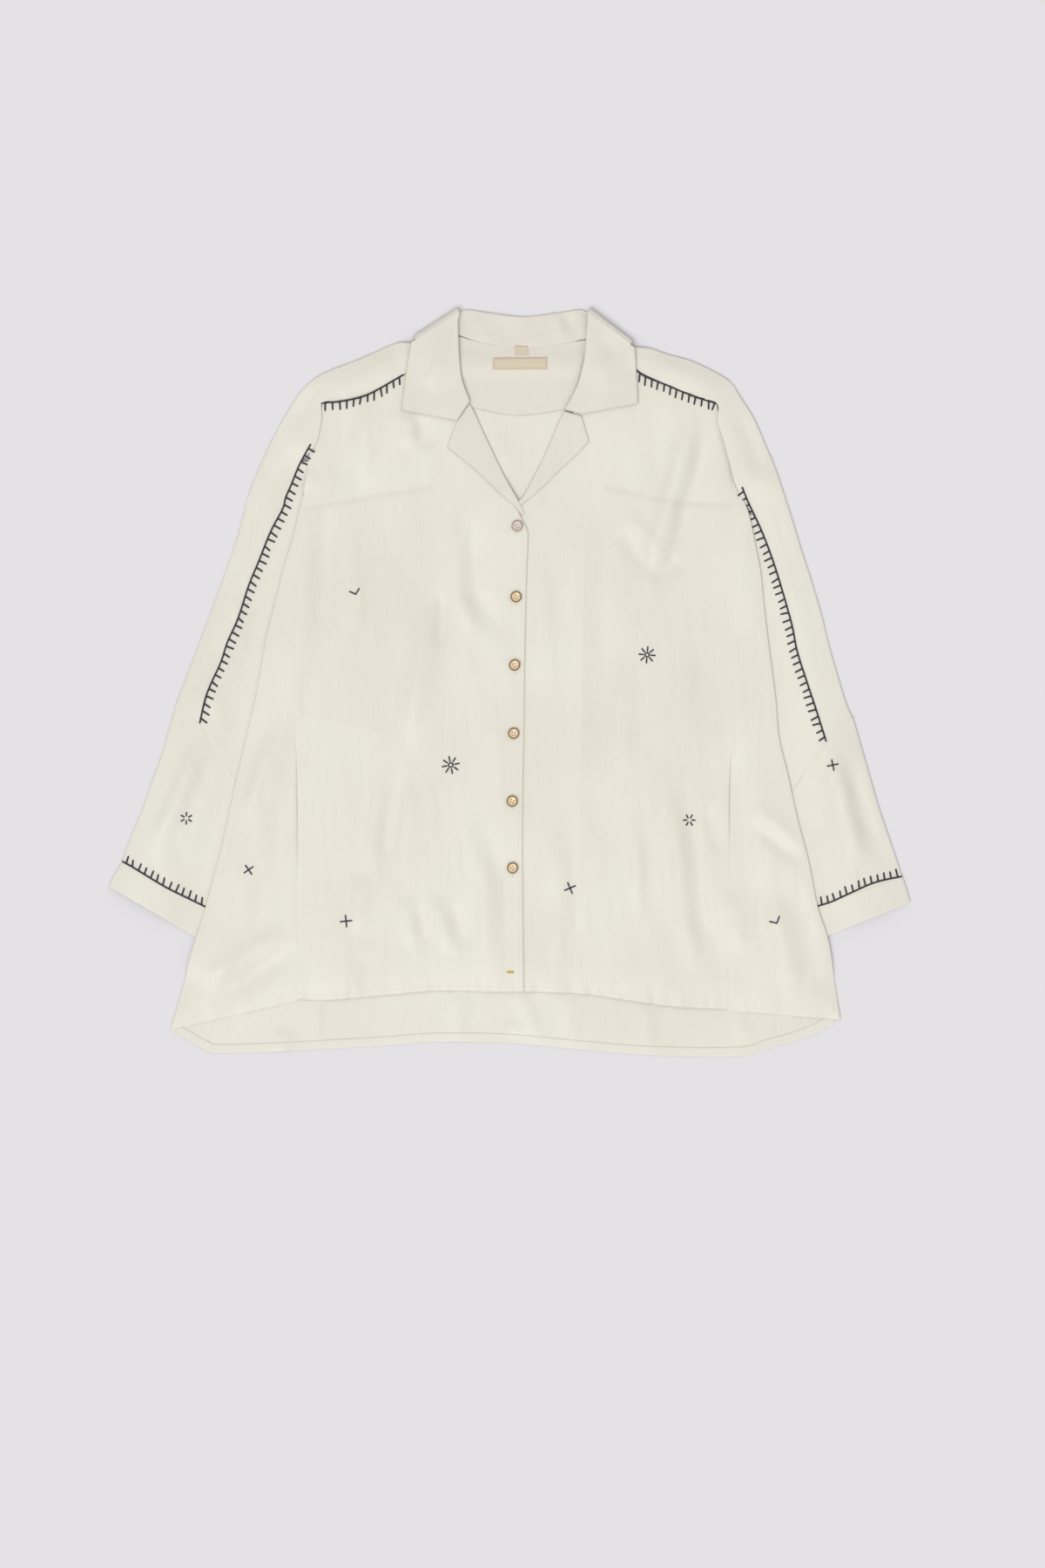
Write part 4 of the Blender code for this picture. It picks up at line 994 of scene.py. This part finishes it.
def collarSections():
    fallTop = backLevel(-57.0, 400.0) + layers["frontGap"] + ply + layers["seamGap"] + layers["rollFold"]
    fallRadius = (fallTop - layers["wall"] / 2) / 2
    standRadius = fallRadius - layers["rollFold"]
    rollRadius = layers["rollFold"] / 2
    bendShare = collar["bendShare"]
    settleFrom, settleRun = collar["settleRun"]
    places = [row[:4] for row in collar["rows"]]
    sections = []
    for row in collar["rows"]:
        rollX, rollY, edgeX, edgeY, turn, stand, settle = row
        overShoulder = places.count(row[:4]) > 1
        roll, edge = np.array((rollX, rollY)), np.array((edgeX, edgeY))
        bend = np.array(collar["bends"].get(rollX, roll + (edge - roll) * bendShare))
        outward = (bend - roll) / np.linalg.norm(bend - roll)
        start = roll + outward * (rollRadius + shell / 2)
        angle = math.radians(turn)
        over = np.zeros(2)
        if overShoulder:
            over = np.array((math.copysign(outward[1], rollX), abs(outward[0])))
            start, edge, bend = (plan - over * (fallRadius + shell / 2) for plan in (start, edge, bend))

        def place(plan, radius, drop=0.0):
            x, y = plan + over * radius * math.sin(angle)
            z = layers["wall"] / 2 + fallRadius + radius * math.cos(angle)
            if turn == 0 and not overShoulder:
                onFront = leftSurface(*plan) + ply + layers["seamGap"]
                z = onFront + layers["rollFold"] - fallRadius + radius - drop
            return (x, y, z)

        section = []
        reach = np.linalg.norm(edge - start)
        for share in (1, 0.82, 0.62, 0.42, bendShare, 0.12, 0):
            plan = start + (bend - start) * share / bendShare
            if share > bendShare:
                plan = bend + (edge - bend) * (share - bendShare) / (1 - bendShare)
            settled = settle * ply * ease((share * reach - stand - settleFrom) / settleRun)
            section.append(place(plan, fallRadius, settled))
        for k in range(1, 4):
            turnIn = math.pi * k / 4
            plan = start - outward * rollRadius * math.sin(turnIn)
            section.append(place(plan, standRadius + rollRadius * (1 + math.cos(turnIn))))
        for share in (0, 0.5, 1):
            plan = start + outward * (stand + collar["standLap"]) * share
            section.append(place(plan, standRadius - collar["standDrop"] * share**2))
        sections.append(section)
    return np.array(sections)


collarCreases = [
    (1.8, 4.5, 1.0, 49, 402, 54, 388, 57, 370), (-1.3, 5.0, 1.0, 62, 404, 66, 390, 72, 374),
    (1.4, 5.0, 1.0, 74, 405, 80, 392, 78, 372), (1.3, 7.0, 1.0, -38, 400, -30, 384, -28, 368),
    (-1.1, 9.0, 1.0, -8, 396, -4, 380, 0, 364), (1.0, 9.0, 1.0, 24, 394, 22, 380, 28, 362),
    (1.2, 7.0, 1.0, -98, 322, -82, 334, -66, 352), (-1.2, 8.0, 1.0, -90, 306, -74, 312, -62, 330),
    (-1.4, 9.0, 1.0, 96, 378, 108, 362, 122, 350), (1.2, 9.0, 1.0, 92, 352, 104, 334, 110, 312),
]
collarGrid = smoothRows(collarSections(), 3.5, collar["corners"])
collarGrid = smoothRows(collarGrid.transpose(1, 0, 2), 3.5, (4,)).transpose(1, 0, 2)
collarX, collarY = collarGrid[..., 0], collarGrid[..., 1]
rumpled = collar["rumple"][0] * rumple(collarX, collarY, collar["rumple"][1])
collarGrid[..., 2] += creaseRise(collarX, collarY, collarCreases) + rumpled
collarGrid[..., 2] = np.maximum(collarGrid[..., 2], layers["lowest"])
# its turned borders get painted shade along the edge
clothPiece("collarCloth", collarGrid[::-1], collarSilk, ["collar"], collar, shadedBorders=("start", "top", "low"))
print("collar made")

# The pocket bags between the layers
pocketBag = {
    # top x, top y, low x, low y
    "rows": {
        "right": [
            (-229, -34, -229, -232), (-182, -44, -182, -226), (-135, -54, -135, -212),
            (-110, -84, -110, -196), (-80, -121, -80, -170),
        ],
        "left": [
            (238, -28, 236, -226), (190, -40, 190, -220), (142, -54, 142, -206), (118, -82, 118, -190),
            (90, -119, 90, -164),
        ],
    },
    "lift": 1.9,
    "cut": (0.15, 0.2),
    "area": 0.022,
    "held": "laid",
    "restsOn": ["backPanel"],
}
for side in ("right", "left"):
    rows = smoothRows(pocketBag["rows"][side], 4.0)
    share = np.linspace(0, 1, 40)[None, :, None]
    plan = rows[:, None, 0:2] * (1 - share) + rows[:, None, 2:4] * share
    grid = raised(plan, lambda x, y: backLevel(x, y) + pocketBag["lift"])
    clothPiece(side + "PocketBag", grid, silk, [f"pocket_bag_{side}"], pocketBag)
print("pocket bags made")

# The blank neck label and size tab, woven and sewn down
label = {
    "corners": [(-18, 351.5), (41, 352), (-18, 338.5), (41, 339)],
    "tabCorners": [(6, 365), (20, 364.5), (6.5, 355), (20, 354.5)],
    "thickness": 0.7,
    "lift": 1.6,
    "tape": (0.74, 0.65, 0.50),
    "rib": (0.62, 0.52, 0.37),
    "ribWidth": 0.0012,
    "cut": (0.06, 0.0135),
    "tabCut": (0.014, 0.0105),
}


def ribbedFinish(name, colour, rib, width):
    finish, tree, shader = newFinish(name, {"Roughness": 0.8})
    scale = 1.0 / width / 3.0
    wave = addNode(tree, "TexWave", Vector=weavePlaces(tree), Scale=scale, Distortion=0.6, Detail=1.0)
    wave.bands_direction = "Y"
    ribs = wave.outputs["Fac"]
    dressShader(tree, shader, mixed(tree, ribs, colour, rib, most=0.45), ribs, 0.5, 0.0003)
    return finish


labelTape = ribbedFinish("labelTape", label["tape"], label["rib"], label["ribWidth"])
for name, corners, node, cut in (
    ("neckLabel", label["corners"], "neck_label", label["cut"]),
    ("sizeTab", label["tabCorners"], "size_tab", label["tabCut"]),
):
    topLeft, topRight, lowLeft, lowRight = corners
    left, right = [topLeft, lowLeft], [topRight, lowRight]
    plan = fillOutline([topLeft, topRight], [lowLeft, lowRight], left, right, 36, 10)
    settings = {
        "shell": label["thickness"],
        "slot": "label_tape",
        "cut": cut,
        "area": cut[0] * cut[1] * 0.99,
        "held": "laid",
        "restsOn": ["backNeckFacing"],
    }
    clothPiece(name, raised(plan, above(label["lift"])), labelTape, [node], settings)
print("labels made")

# The buttons: four-hole discs, gold with a darker rim, and a grey one at the collar
button = {
    "centres": [(8.3, 168.2), (7.2, 91.2), (5.6, 16.8), (4.6, -57.5), (3, -131.4), (3.4, -204.1)],
    "radius": 6.15,
    "height": 2.6,
    "middle": 1.6,  # its height inside the rim
    "seat": 1.15,
    "holeRadius": 0.9,
    "holeSpacing": 2.1,
    "rimFrom": 1.9,
    "rimRun": 0.8,
    "gold": (0.86, 0.66, 0.39),
    "goldRim": (0.27, 0.155, 0.06),
    "grey": (0.74, 0.64, 0.55),
    "greyRim": (0.44, 0.35, 0.28),
}


def buttonFinish(name, centre, rim, metallic):
    finish, tree, shader = newFinish(name, {"Roughness": 0.38, "Metallic": metallic, "Coat Weight": 0.3})
    specks = objectNoise(tree, 900.0, 3.0)
    offset = arithmetic(tree, "ADD", pointMark(tree, "rim"), -0.17)
    worn = arithmetic(tree, "MULTIPLY_ADD", specks, 0.35, offset.outputs["Value"])
    worn.use_clamp = True
    dressShader(tree, shader, mixed(tree, worn.outputs["Value"], centre, rim), specks, 0.15, 0.0002)
    return finish


def buttonMesh(name):
    # a turned profile with four drilled holes
    radius, steps = button["radius"], 48
    profile = [
        (0.0, 0.0), (radius - 1.2, 0.0), (radius - 0.4, 0.35), (radius, 1.1), (radius - 0.1, 1.7),
        (radius - 0.5, 2.3), (radius - 0.9, button["height"]), (radius - 1.3, 2.5), (radius - 2.0, 1.9),
        (0.0, button["middle"]),
    ]
    points, rims = [(0.0, 0.0, 0.0)], [0.0]
    for r, z in profile[1:-1]:
        points += [(r * math.cos(a), r * math.sin(a), z) for a in np.arange(steps) * 2 * math.pi / steps]
        rims += [float(ease((r - radius + button["rimFrom"]) / button["rimRun"]))] * steps
    points.append((0.0, 0.0, button["middle"]))
    rims.append(0.0)
    faces = []
    rings = len(profile) - 2
    for k in range(steps):
        n = (k + 1) % steps
        faces.append((0, 1 + n, 1 + k))
        for ring in range(rings - 1):
            a = 1 + ring * steps
            faces.append((a + k, a + n, a + steps + n, a + steps + k))
        last = 1 + (rings - 1) * steps
        faces.append((last + k, last + n, len(points) - 1))
    mesh = bpy.data.meshes.new(name)
    mesh.from_pydata([tuple(c * mm for c in p) for p in points], [], faces)
    mesh.attributes.new("rim", "FLOAT", "POINT").data.foreach_set("value", rims)
    disc = bpy.data.objects.new(name, mesh)
    bpy.context.scene.collection.objects.link(disc)
    for x, y in ((1, 1), (1, -1), (-1, 1), (-1, -1)):
        offset = button["holeSpacing"] / math.sqrt(2) * mm
        middle = (x * offset, y * offset, 0.0)
        radius = button["holeRadius"] * mm
        bpy.ops.mesh.primitive_cylinder_add(vertices=20, radius=radius, depth=0.012, location=middle)
        drill = bpy.context.object
        cut = disc.modifiers.new("hole", "BOOLEAN")
        cut.object = drill
        bpy.context.view_layer.objects.active = disc
        bpy.ops.object.select_all(action="DESELECT")
        disc.select_set(True)
        bpy.ops.object.modifier_apply(modifier=cut.name)
        bpy.data.objects.remove(drill)
    disc.data.shade_smooth()
    disc.data.set_sharp_from_angle(angle=math.radians(38))
    drilled = disc.data
    bpy.data.objects.remove(disc)
    return drilled


def buttonTurn(number):
    return 0.5 * math.sin(2.3 * number)


drilled = buttonMesh("buttonDisc")
finishes = {
    "gold_button": buttonFinish("goldButton", button["gold"], button["goldRim"], 0.12),
    "shell_button": buttonFinish("greyButton", button["grey"], button["greyRim"], 0.0),
}
for number, (x, y) in enumerate(button["centres"], 1):
    slotName = "shell_button" if number == 1 else "gold_button"
    mesh = drilled.copy()
    mesh.materials.clear()
    place = (x * mm, y * mm, (float(rightSurface(x, y)) + button["seat"]) * mm)
    turn, nodes = buttonTurn(number), [f"button_{number}"]
    placePiece(f"button{number}", mesh, finishes[slotName], nodes, place, turn)
print("buttons made")

# Sewing: every thread is a thin tube that lies on the cloth
sewing = {
    "navy": (0.008, 0.010, 0.019),
    "ivory": (0.77, 0.73, 0.63),
    "brown": (0.40, 0.28, 0.15),
    "gold": (0.60, 0.42, 0.14),
    # the radius of each thread
    "edging": 0.95,
    "button": 0.16,
    "buttonhole": 0.42,
    "motif": 0.8,
    "machine": 0.2,
    "label": 0.26,
    "seam": 0.45,
    "tack": 0.5,
}


def threadFinish(name, colour):
    finish, tree, shader = newFinish(name, {"Roughness": 0.6, "Sheen Weight": 0.15})
    wave = addNode(tree, "TexWave", Vector=weavePlaces(tree), Scale=260.0, Distortion=0.4)
    wave.bands_direction = "DIAGONAL"
    twist = wave.outputs["Fac"]
    lighter = tuple(min(1.0, c * 1.5 + 0.01) for c in colour)
    dressShader(tree, shader, mixed(tree, twist, colour, lighter), twist, 0.5, 0.0002)
    return finish


navyThread = threadFinish("navyThread", sewing["navy"])
ivoryThread = threadFinish("ivoryThread", sewing["ivory"])
brownThread = threadFinish("brownThread", sewing["brown"])
goldThread = threadFinish("goldThread", sewing["gold"])


def threadPiece(name, paths, radius, finish, sides=6):
    # tubes along paths of places, with rounded ends, as one piece
    points, faces, uvs = [], [], []
    angles = np.arange(sides) * 2 * math.pi / sides
    for path in paths:
        path = np.array(path, float)
        way = np.gradient(path, axis=0)
        way /= np.linalg.norm(way, axis=1)[:, None] + 1e-9
        path = np.concatenate([path[:1] - way[:1] * radius * 0.6, path, path[-1:] + way[-1:] * radius * 0.6])
        way = np.concatenate([way[:1], way, way[-1:]])
        sideways = np.cross(way, (0.0, 0.0, 1.0))
        sideways /= np.linalg.norm(sideways, axis=1)[:, None] + 1e-9
        upward = np.cross(sideways, way)
        radii = np.full(len(path), radius)
        radii[0] = radii[-1] = radius * 0.45
        start = len(points)
        for p, s, u, r in zip(path, sideways, upward, radii):
            points += [tuple(p + (s * math.cos(a) + u * math.sin(a)) * r) for a in angles]
        uvs += [(angle * radius * mm, at * mm) for at in runAlong(path) for angle in angles]
        count = len(path)
        for i in range(count - 1):
            for k in range(sides):
                n = (k + 1) % sides
                a = start + i * sides
                faces.append((a + k, a + n, a + sides + n, a + sides + k))
        faces.append(tuple(start + k for k in range(sides))[::-1])
        faces.append(tuple(start + (count - 1) * sides + k for k in range(sides)))
    mesh = bpy.data.meshes.new(name)
    mesh.from_pydata([tuple(c * mm for c in p) for p in points], [], faces)
    weave = mesh.uv_layers.new(name="weave")
    corners = np.empty(len(mesh.loops), int)
    mesh.loops.foreach_get("vertex_index", corners)
    weave.data.foreach_set("uv", np.array(uvs)[corners].ravel())
    mesh.shade_smooth()
    placePiece(name, mesh, finish)


def onCloth(line, surface, lift, step=2.0):
    # a line in plan, laid on a surface
    line = smoothRows(line, step) if len(line) > 2 else along(line, np.linspace(0, 1, 6))
    return np.c_[line, surface(line[:, 0], line[:, 1]) + lift]


def stitchedLine(line, surface, stitch, space, lift):
    # a row of short stitches along a line
    line = smoothRows(line, 1.0)
    run = runAlong(line)
    paths = []
    for start in np.arange(0.0, run[-1] - stitch, stitch + space):
        at = start + np.linspace(0, stitch, 3)
        x, y = np.interp(at, run, line[:, 0]), np.interp(at, run, line[:, 1])
        paths.append(np.c_[x, y, surface(x, y) + lift + np.array([-0.15, 0.05, -0.15])])
    return paths


# Blanket stitch: a line along the seam and legs into the next piece
blanketStitch = {
    "shoulderRight": {"legs": 12, "length": 8.8, "lean": (0.05, -1.0), "on": "right"},
    "shoulderLeft": {"legs": 13, "length": 8.8, "lean": (-0.12, -1.0), "on": "left"},
    "sleeveRight": {"legs": 39, "length": 8.0, "lean": (0.85, -0.52), "on": "sleeveRight"},
    "sleeveLeft": {"legs": 37, "length": 8.0, "lean": (-0.9, -0.42), "on": "sleeveLeft"},
    "cuffRight": {"legs": 13, "length": 8.2, "lean": (0.25, 1.0), "on": "sleeveRight"},
    "cuffLeft": {"legs": 13, "length": 8.2, "lean": (-0.2, 1.0), "on": "sleeveLeft"},
}
stitchLines = {
    "shoulderRight": [
        (-115.9, 333), (-145.3, 315.9), (-163.4, 308.3), (-188.1, 303.5), (-199.5, 303.5), (-205.2, 301.6),
    ],
    "shoulderLeft": [
        (138.7, 337.7), (148.2, 331.1), (171.9, 321.6), (202.3, 309.2), (213, 306.6), (225.1, 303.4),
        (228, 301.6),
    ],
    "sleeveRight": [
        (-216.6, 257), (-228.9, 235.1), (-238.4, 212.3), (-244.1, 199), (-247, 187.6), (-260.3, 162),
        (-273.6, 128.7), (-284.1, 103.1), (-295.4, 67.9), (-306.8, 42.3), (-314.4, 19.5), (-324.9, -3.3),
        (-331.6, -21.4), (-337.2, -46.1),
    ],
    "sleeveLeft": [
        (253.6, 210.4), (261.2, 192.4), (274.6, 163.9), (286.9, 131.6), (297.3, 98.3), (307.8, 60.3),
        (313.5, 31.8), (323.9, -1.4), (332.5, -27.1), (344.8, -66),
    ],
    "cuffRight": [(-421.8, -197.1), (-409.4, -203.8), (-387.6, -217.1), (-369.5, -227.5), (-331.6, -246.5)],
    "cuffLeft": [(336.3, -245.6), (351.5, -240.8), (369.5, -232.3), (398, -219.9), (427.5, -213.3)],
}


def blanketPaths(line, surface, settings, seed):
    rng = np.random.default_rng(seed)
    lift = shell / 2 + sewing["edging"] * 0.7
    spine = smoothRows(line, 3.0)
    paths = [np.c_[spine, surface(spine[:, 0], spine[:, 1]) + lift]]
    starts = along(spine, (np.arange(settings["legs"]) + 0.6) / (settings["legs"] + 0.2))
    lean = np.array(settings["lean"]) / np.hypot(*settings["lean"])
    for start in starts:
        turn = rng.normal(0.0, 0.09)
        way = np.array((lean[0] - lean[1] * turn, lean[1] + lean[0] * turn))
        leg = start + way * np.linspace(0, settings["length"] * rng.uniform(0.88, 1.1), 5)[:, None]
        paths.append(np.c_[leg, surface(leg[:, 0], leg[:, 1]) + lift + np.array([0.2, 0.2, 0.1, 0.0, -0.5])])
    return paths


surfaces = {
    "right": rightSurface,
    "left": leftSurface,
    "sleeveRight": sleeveSurface("right"),
    "sleeveLeft": sleeveSurface("left"),
}
for seed, (name, line) in enumerate(stitchLines.items()):
    paths = blanketPaths(line, surfaces[blanketStitch[name]["on"]], blanketStitch[name], seed)
    threadPiece(name + "Stitch", paths, sewing["edging"], navyThread)
print("edging sewn")

# Buttonholes and the threads in the buttons
buttonThreads = {"above": 1.25, "apart": 0.22, "rise": 0.5}
buttonhole = [(0.55, 5.0), (0.6, -3.0), (0.45, -10.5)]
sewnPaths, holePaths = [], []
for number, (x, y) in enumerate(button["centres"], 1):
    z = float(rightSurface(x, y)) + button["seat"] + buttonThreads["above"]
    half = button["holeSpacing"] / math.sqrt(2)
    turn = buttonTurn(number)
    for sign in (-1, 1):
        ends = np.array([(sign * half, -half), (sign * half, half)])
        ends = ends @ np.array([(math.cos(turn), math.sin(turn)), (-math.sin(turn), math.cos(turn))])
        for shift in (-buttonThreads["apart"], buttonThreads["apart"]):
            path = along(ends + np.array([(x + shift, y)]), np.linspace(0, 1, 7))
            rise = np.sin(np.linspace(0, math.pi, 7)) * buttonThreads["rise"]
            sewnPaths.append(np.c_[path, z + rise])
        hole = [(x + sign * across, y + up) for across, up in buttonhole]
        holePaths.append(onCloth(hole, rightSurface, shell / 2 + 0.3, 1.0))
threadPiece("buttonThread", sewnPaths, sewing["button"], ivoryThread)
threadPiece("buttonholes", holePaths, sewing["buttonhole"], ivoryThread)
print("buttonholes sewn")

# Small embroidered motifs of plain hand stitches: crosses, chevrons, daisies and seed stitches
motifs = [
    # x, y, kind, size, turn, surface
    (-168, 96, "chevron", 5.5, 0.3, "right"),
    (-64, -92, "daisy", 9.5, 0.2, "right"),
    (-178, -262, "cross", 6.5, 0.1, "right"),
    (150, 28, "daisy", 9.0, 0.7, "left"),
    (66, -226, "cross", 6.5, 0.4, "left"),
    (196, -152, "seeds", 6.5, 0.0, "left"),
    (-284, -206, "cross", 6.0, 0.6, "left"),
    (290, -262, "chevron", 6.0, 0.5, "left"),
    (-352, -150, "seeds", 6.5, 0.5, "sleeveRight"),
    (352, -92, "cross", 6.0, 0.2, "sleeveLeft"),
]


def motifStrokes(kind, size):
    # the strokes of a motif about its middle
    def turned(angle, near, far):
        return [(reach * math.cos(angle), reach * math.sin(angle)) for reach in (near, far)]

    if kind == "cross":
        return [turned(k * math.pi / 2, 0.0, size) for k in range(4)]
    if kind == "chevron":
        return [[(-size, size * 0.5), (0.0, -size * 0.4)], [(0.0, -size * 0.4), (size, size * 0.5)]]
    if kind == "seeds":
        return [turned(k * math.pi / 3, size * 0.4, size) for k in range(6)]
    # a daisy: a small ring with eight straight petals
    ring = [(size * 0.26 * math.cos(a), size * 0.26 * math.sin(a)) for a in np.linspace(0, 2 * math.pi, 13)]
    return [ring] + [turned(k * math.pi / 4, size * 0.45, size) for k in range(8)]


motifPaths = []
for x, y, kind, size, turn, place in motifs:
    spin = np.array([(math.cos(turn), math.sin(turn)), (-math.sin(turn), math.cos(turn))])
    for stroke in motifStrokes(kind, size):
        line = np.array(stroke) @ spin + np.array((x, y))
        line = along(line, np.linspace(0, 1, 9)) if len(line) == 2 else line
        motifPaths.append(np.c_[line, surfaces[place](line[:, 0], line[:, 1]) + shell / 2 + 0.35])
threadPiece("motifs", motifPaths, sewing["motif"], navyThread)
print("motifs sewn")

# Machine stitching in ivory along edges and seams
machineStitch = {
    "stitch": 2.3,
    "space": 0.9,
    "frontEdge": [(12, 168), (15.5, 149), (14.5, 117), (12, 25), (11, -57), (9.5, -178), (11, -337)],
    "besideBags": {
        "right": [(-74, 250), (-72, 120), (-74, -130), (-76, -240), (-78, -335)],
        "left": [(90, 220), (82, 80), (79, -100), (79, -200), (79, -338)],
    },
    "hemDepth": 6.0,
    "backHemDepth": 8.6,
    "backHemNarrowing": 0.995,
}
narrowing, depth = machineStitch["backHemNarrowing"], machineStitch["backHemDepth"]
backHemLine = [(x * narrowing, y + depth) for x, y in back["hem"]]
rows = [(machineStitch["frontEdge"], rightSurface)]
for side in ("right", "left"):
    rows.append(([(x, y + machineStitch["hemDepth"]) for x, y in front["hem"][side]], bodySurface(side)))
rows.append((backHemLine, above(hemBand["lift"])))
for side in ("right", "left"):
    rows.append((machineStitch["besideBags"][side], bodySurface(side)))
fine = []
for line, surface in rows:
    fine += stitchedLine(line, surface, machineStitch["stitch"], machineStitch["space"], shell / 2 + 0.1)
threadPiece("machineStitching", fine, sewing["machine"], ivoryThread, sides=4)

labelStitch = {
    "border": [(-16.6, 350.2), (39.6, 350.6), (39.6, 340.3), (-16.6, 339.9), (-16.6, 350.2)],
    "stitch": 1.5,
    "space": 0.9,
    "lift": 2.1,
}
border = []
for first, last in zip(labelStitch["border"][:-1], labelStitch["border"][1:]):
    line, lift = along([first, last], np.linspace(0, 1, 5)), labelStitch["lift"]
    border += stitchedLine(line, backSurface, labelStitch["stitch"], labelStitch["space"], lift)
threadPiece("labelStitching", border, sewing["label"], brownThread, sides=4)

# The centre back seam, a ridge with its allowance, and a gold bar tack below the last button
centreSeam = [(18.5, 289), (19, 240), (17, 150), (12, -50), (4, -250), (-3, -340), (-4.5, -393)]
ridges = [onCloth([(x + shift, y) for x, y in centreSeam], backSurface, 0.25, 4.0) for shift in (-1.3, 1.3)]
threadPiece("centreBackSeam", ridges, sewing["seam"], ivoryThread)
barTack = {"left": -2.5, "right": 4.5, "rows": (-318.5, -317.5, -316.5)}
tack = []
for y in barTack["rows"]:
    tack.append(onCloth([(barTack["left"], y), (barTack["right"], y)], rightSurface, shell / 2 + 0.3))
threadPiece("barTack", tack, sewing["tack"], goldThread)
print("seams stitched")

# The floor, lights and camera
floorLook = {"colour": (0.776, 0.761, 0.786), "size": 14.0, "below": 0.0002}
bpy.ops.mesh.primitive_plane_add(size=floorLook["size"], location=(0.0, 0.0, -floorLook["below"]))
floor = bpy.context.object
floor.name = "floor"
paper = newFinish("palePaper", {
    "Base Color": (*floorLook["colour"], 1.0),
    "Roughness": 0.9,
    "Specular IOR Level": 0.1,
})[0]
floor.data.materials.append(paper)

studio = {
    "sky": 0.49,
    "key": {"from": (-0.28, -0.50, 1.05), "strength": 1.54, "softness": 40.0},
    "fill": {"from": (0.5, 0.3, 0.9), "strength": 0.30, "softness": 60.0},
}
world = bpy.data.worlds.new("studio")
bpy.context.scene.world = world
world.use_nodes = True
sky = world.node_tree.nodes["Background"]
sky.inputs["Color"].default_value = (1.0, 1.0, 1.0, 1.0)
sky.inputs["Strength"].default_value = studio["sky"]
for name in ("key", "fill"):
    lamp = bpy.data.lights.new(name, "SUN")
    lamp.energy = studio[name]["strength"]
    lamp.angle = math.radians(studio[name]["softness"])
    light = bpy.data.objects.new(name, lamp)
    light.rotation_euler = Vector(studio[name]["from"]).to_track_quat("Z", "Y").to_euler()
    bpy.context.scene.collection.objects.link(light)
bpy.context.scene.view_settings.view_transform = "Standard"

cameraView = {"lens": 100.0, "sensor": 36.0, "place": (0.01425, -0.1126, 4.75)}
camera = bpy.data.objects.new("camera", bpy.data.cameras.new("camera"))
camera.data.lens = cameraView["lens"]
camera.data.sensor_width = cameraView["sensor"]
camera.location = cameraView["place"]
camera.data.clip_end = 50.0
bpy.context.scene.collection.objects.link(camera)
bpy.context.scene.camera = camera
print("floor, lights and camera set")
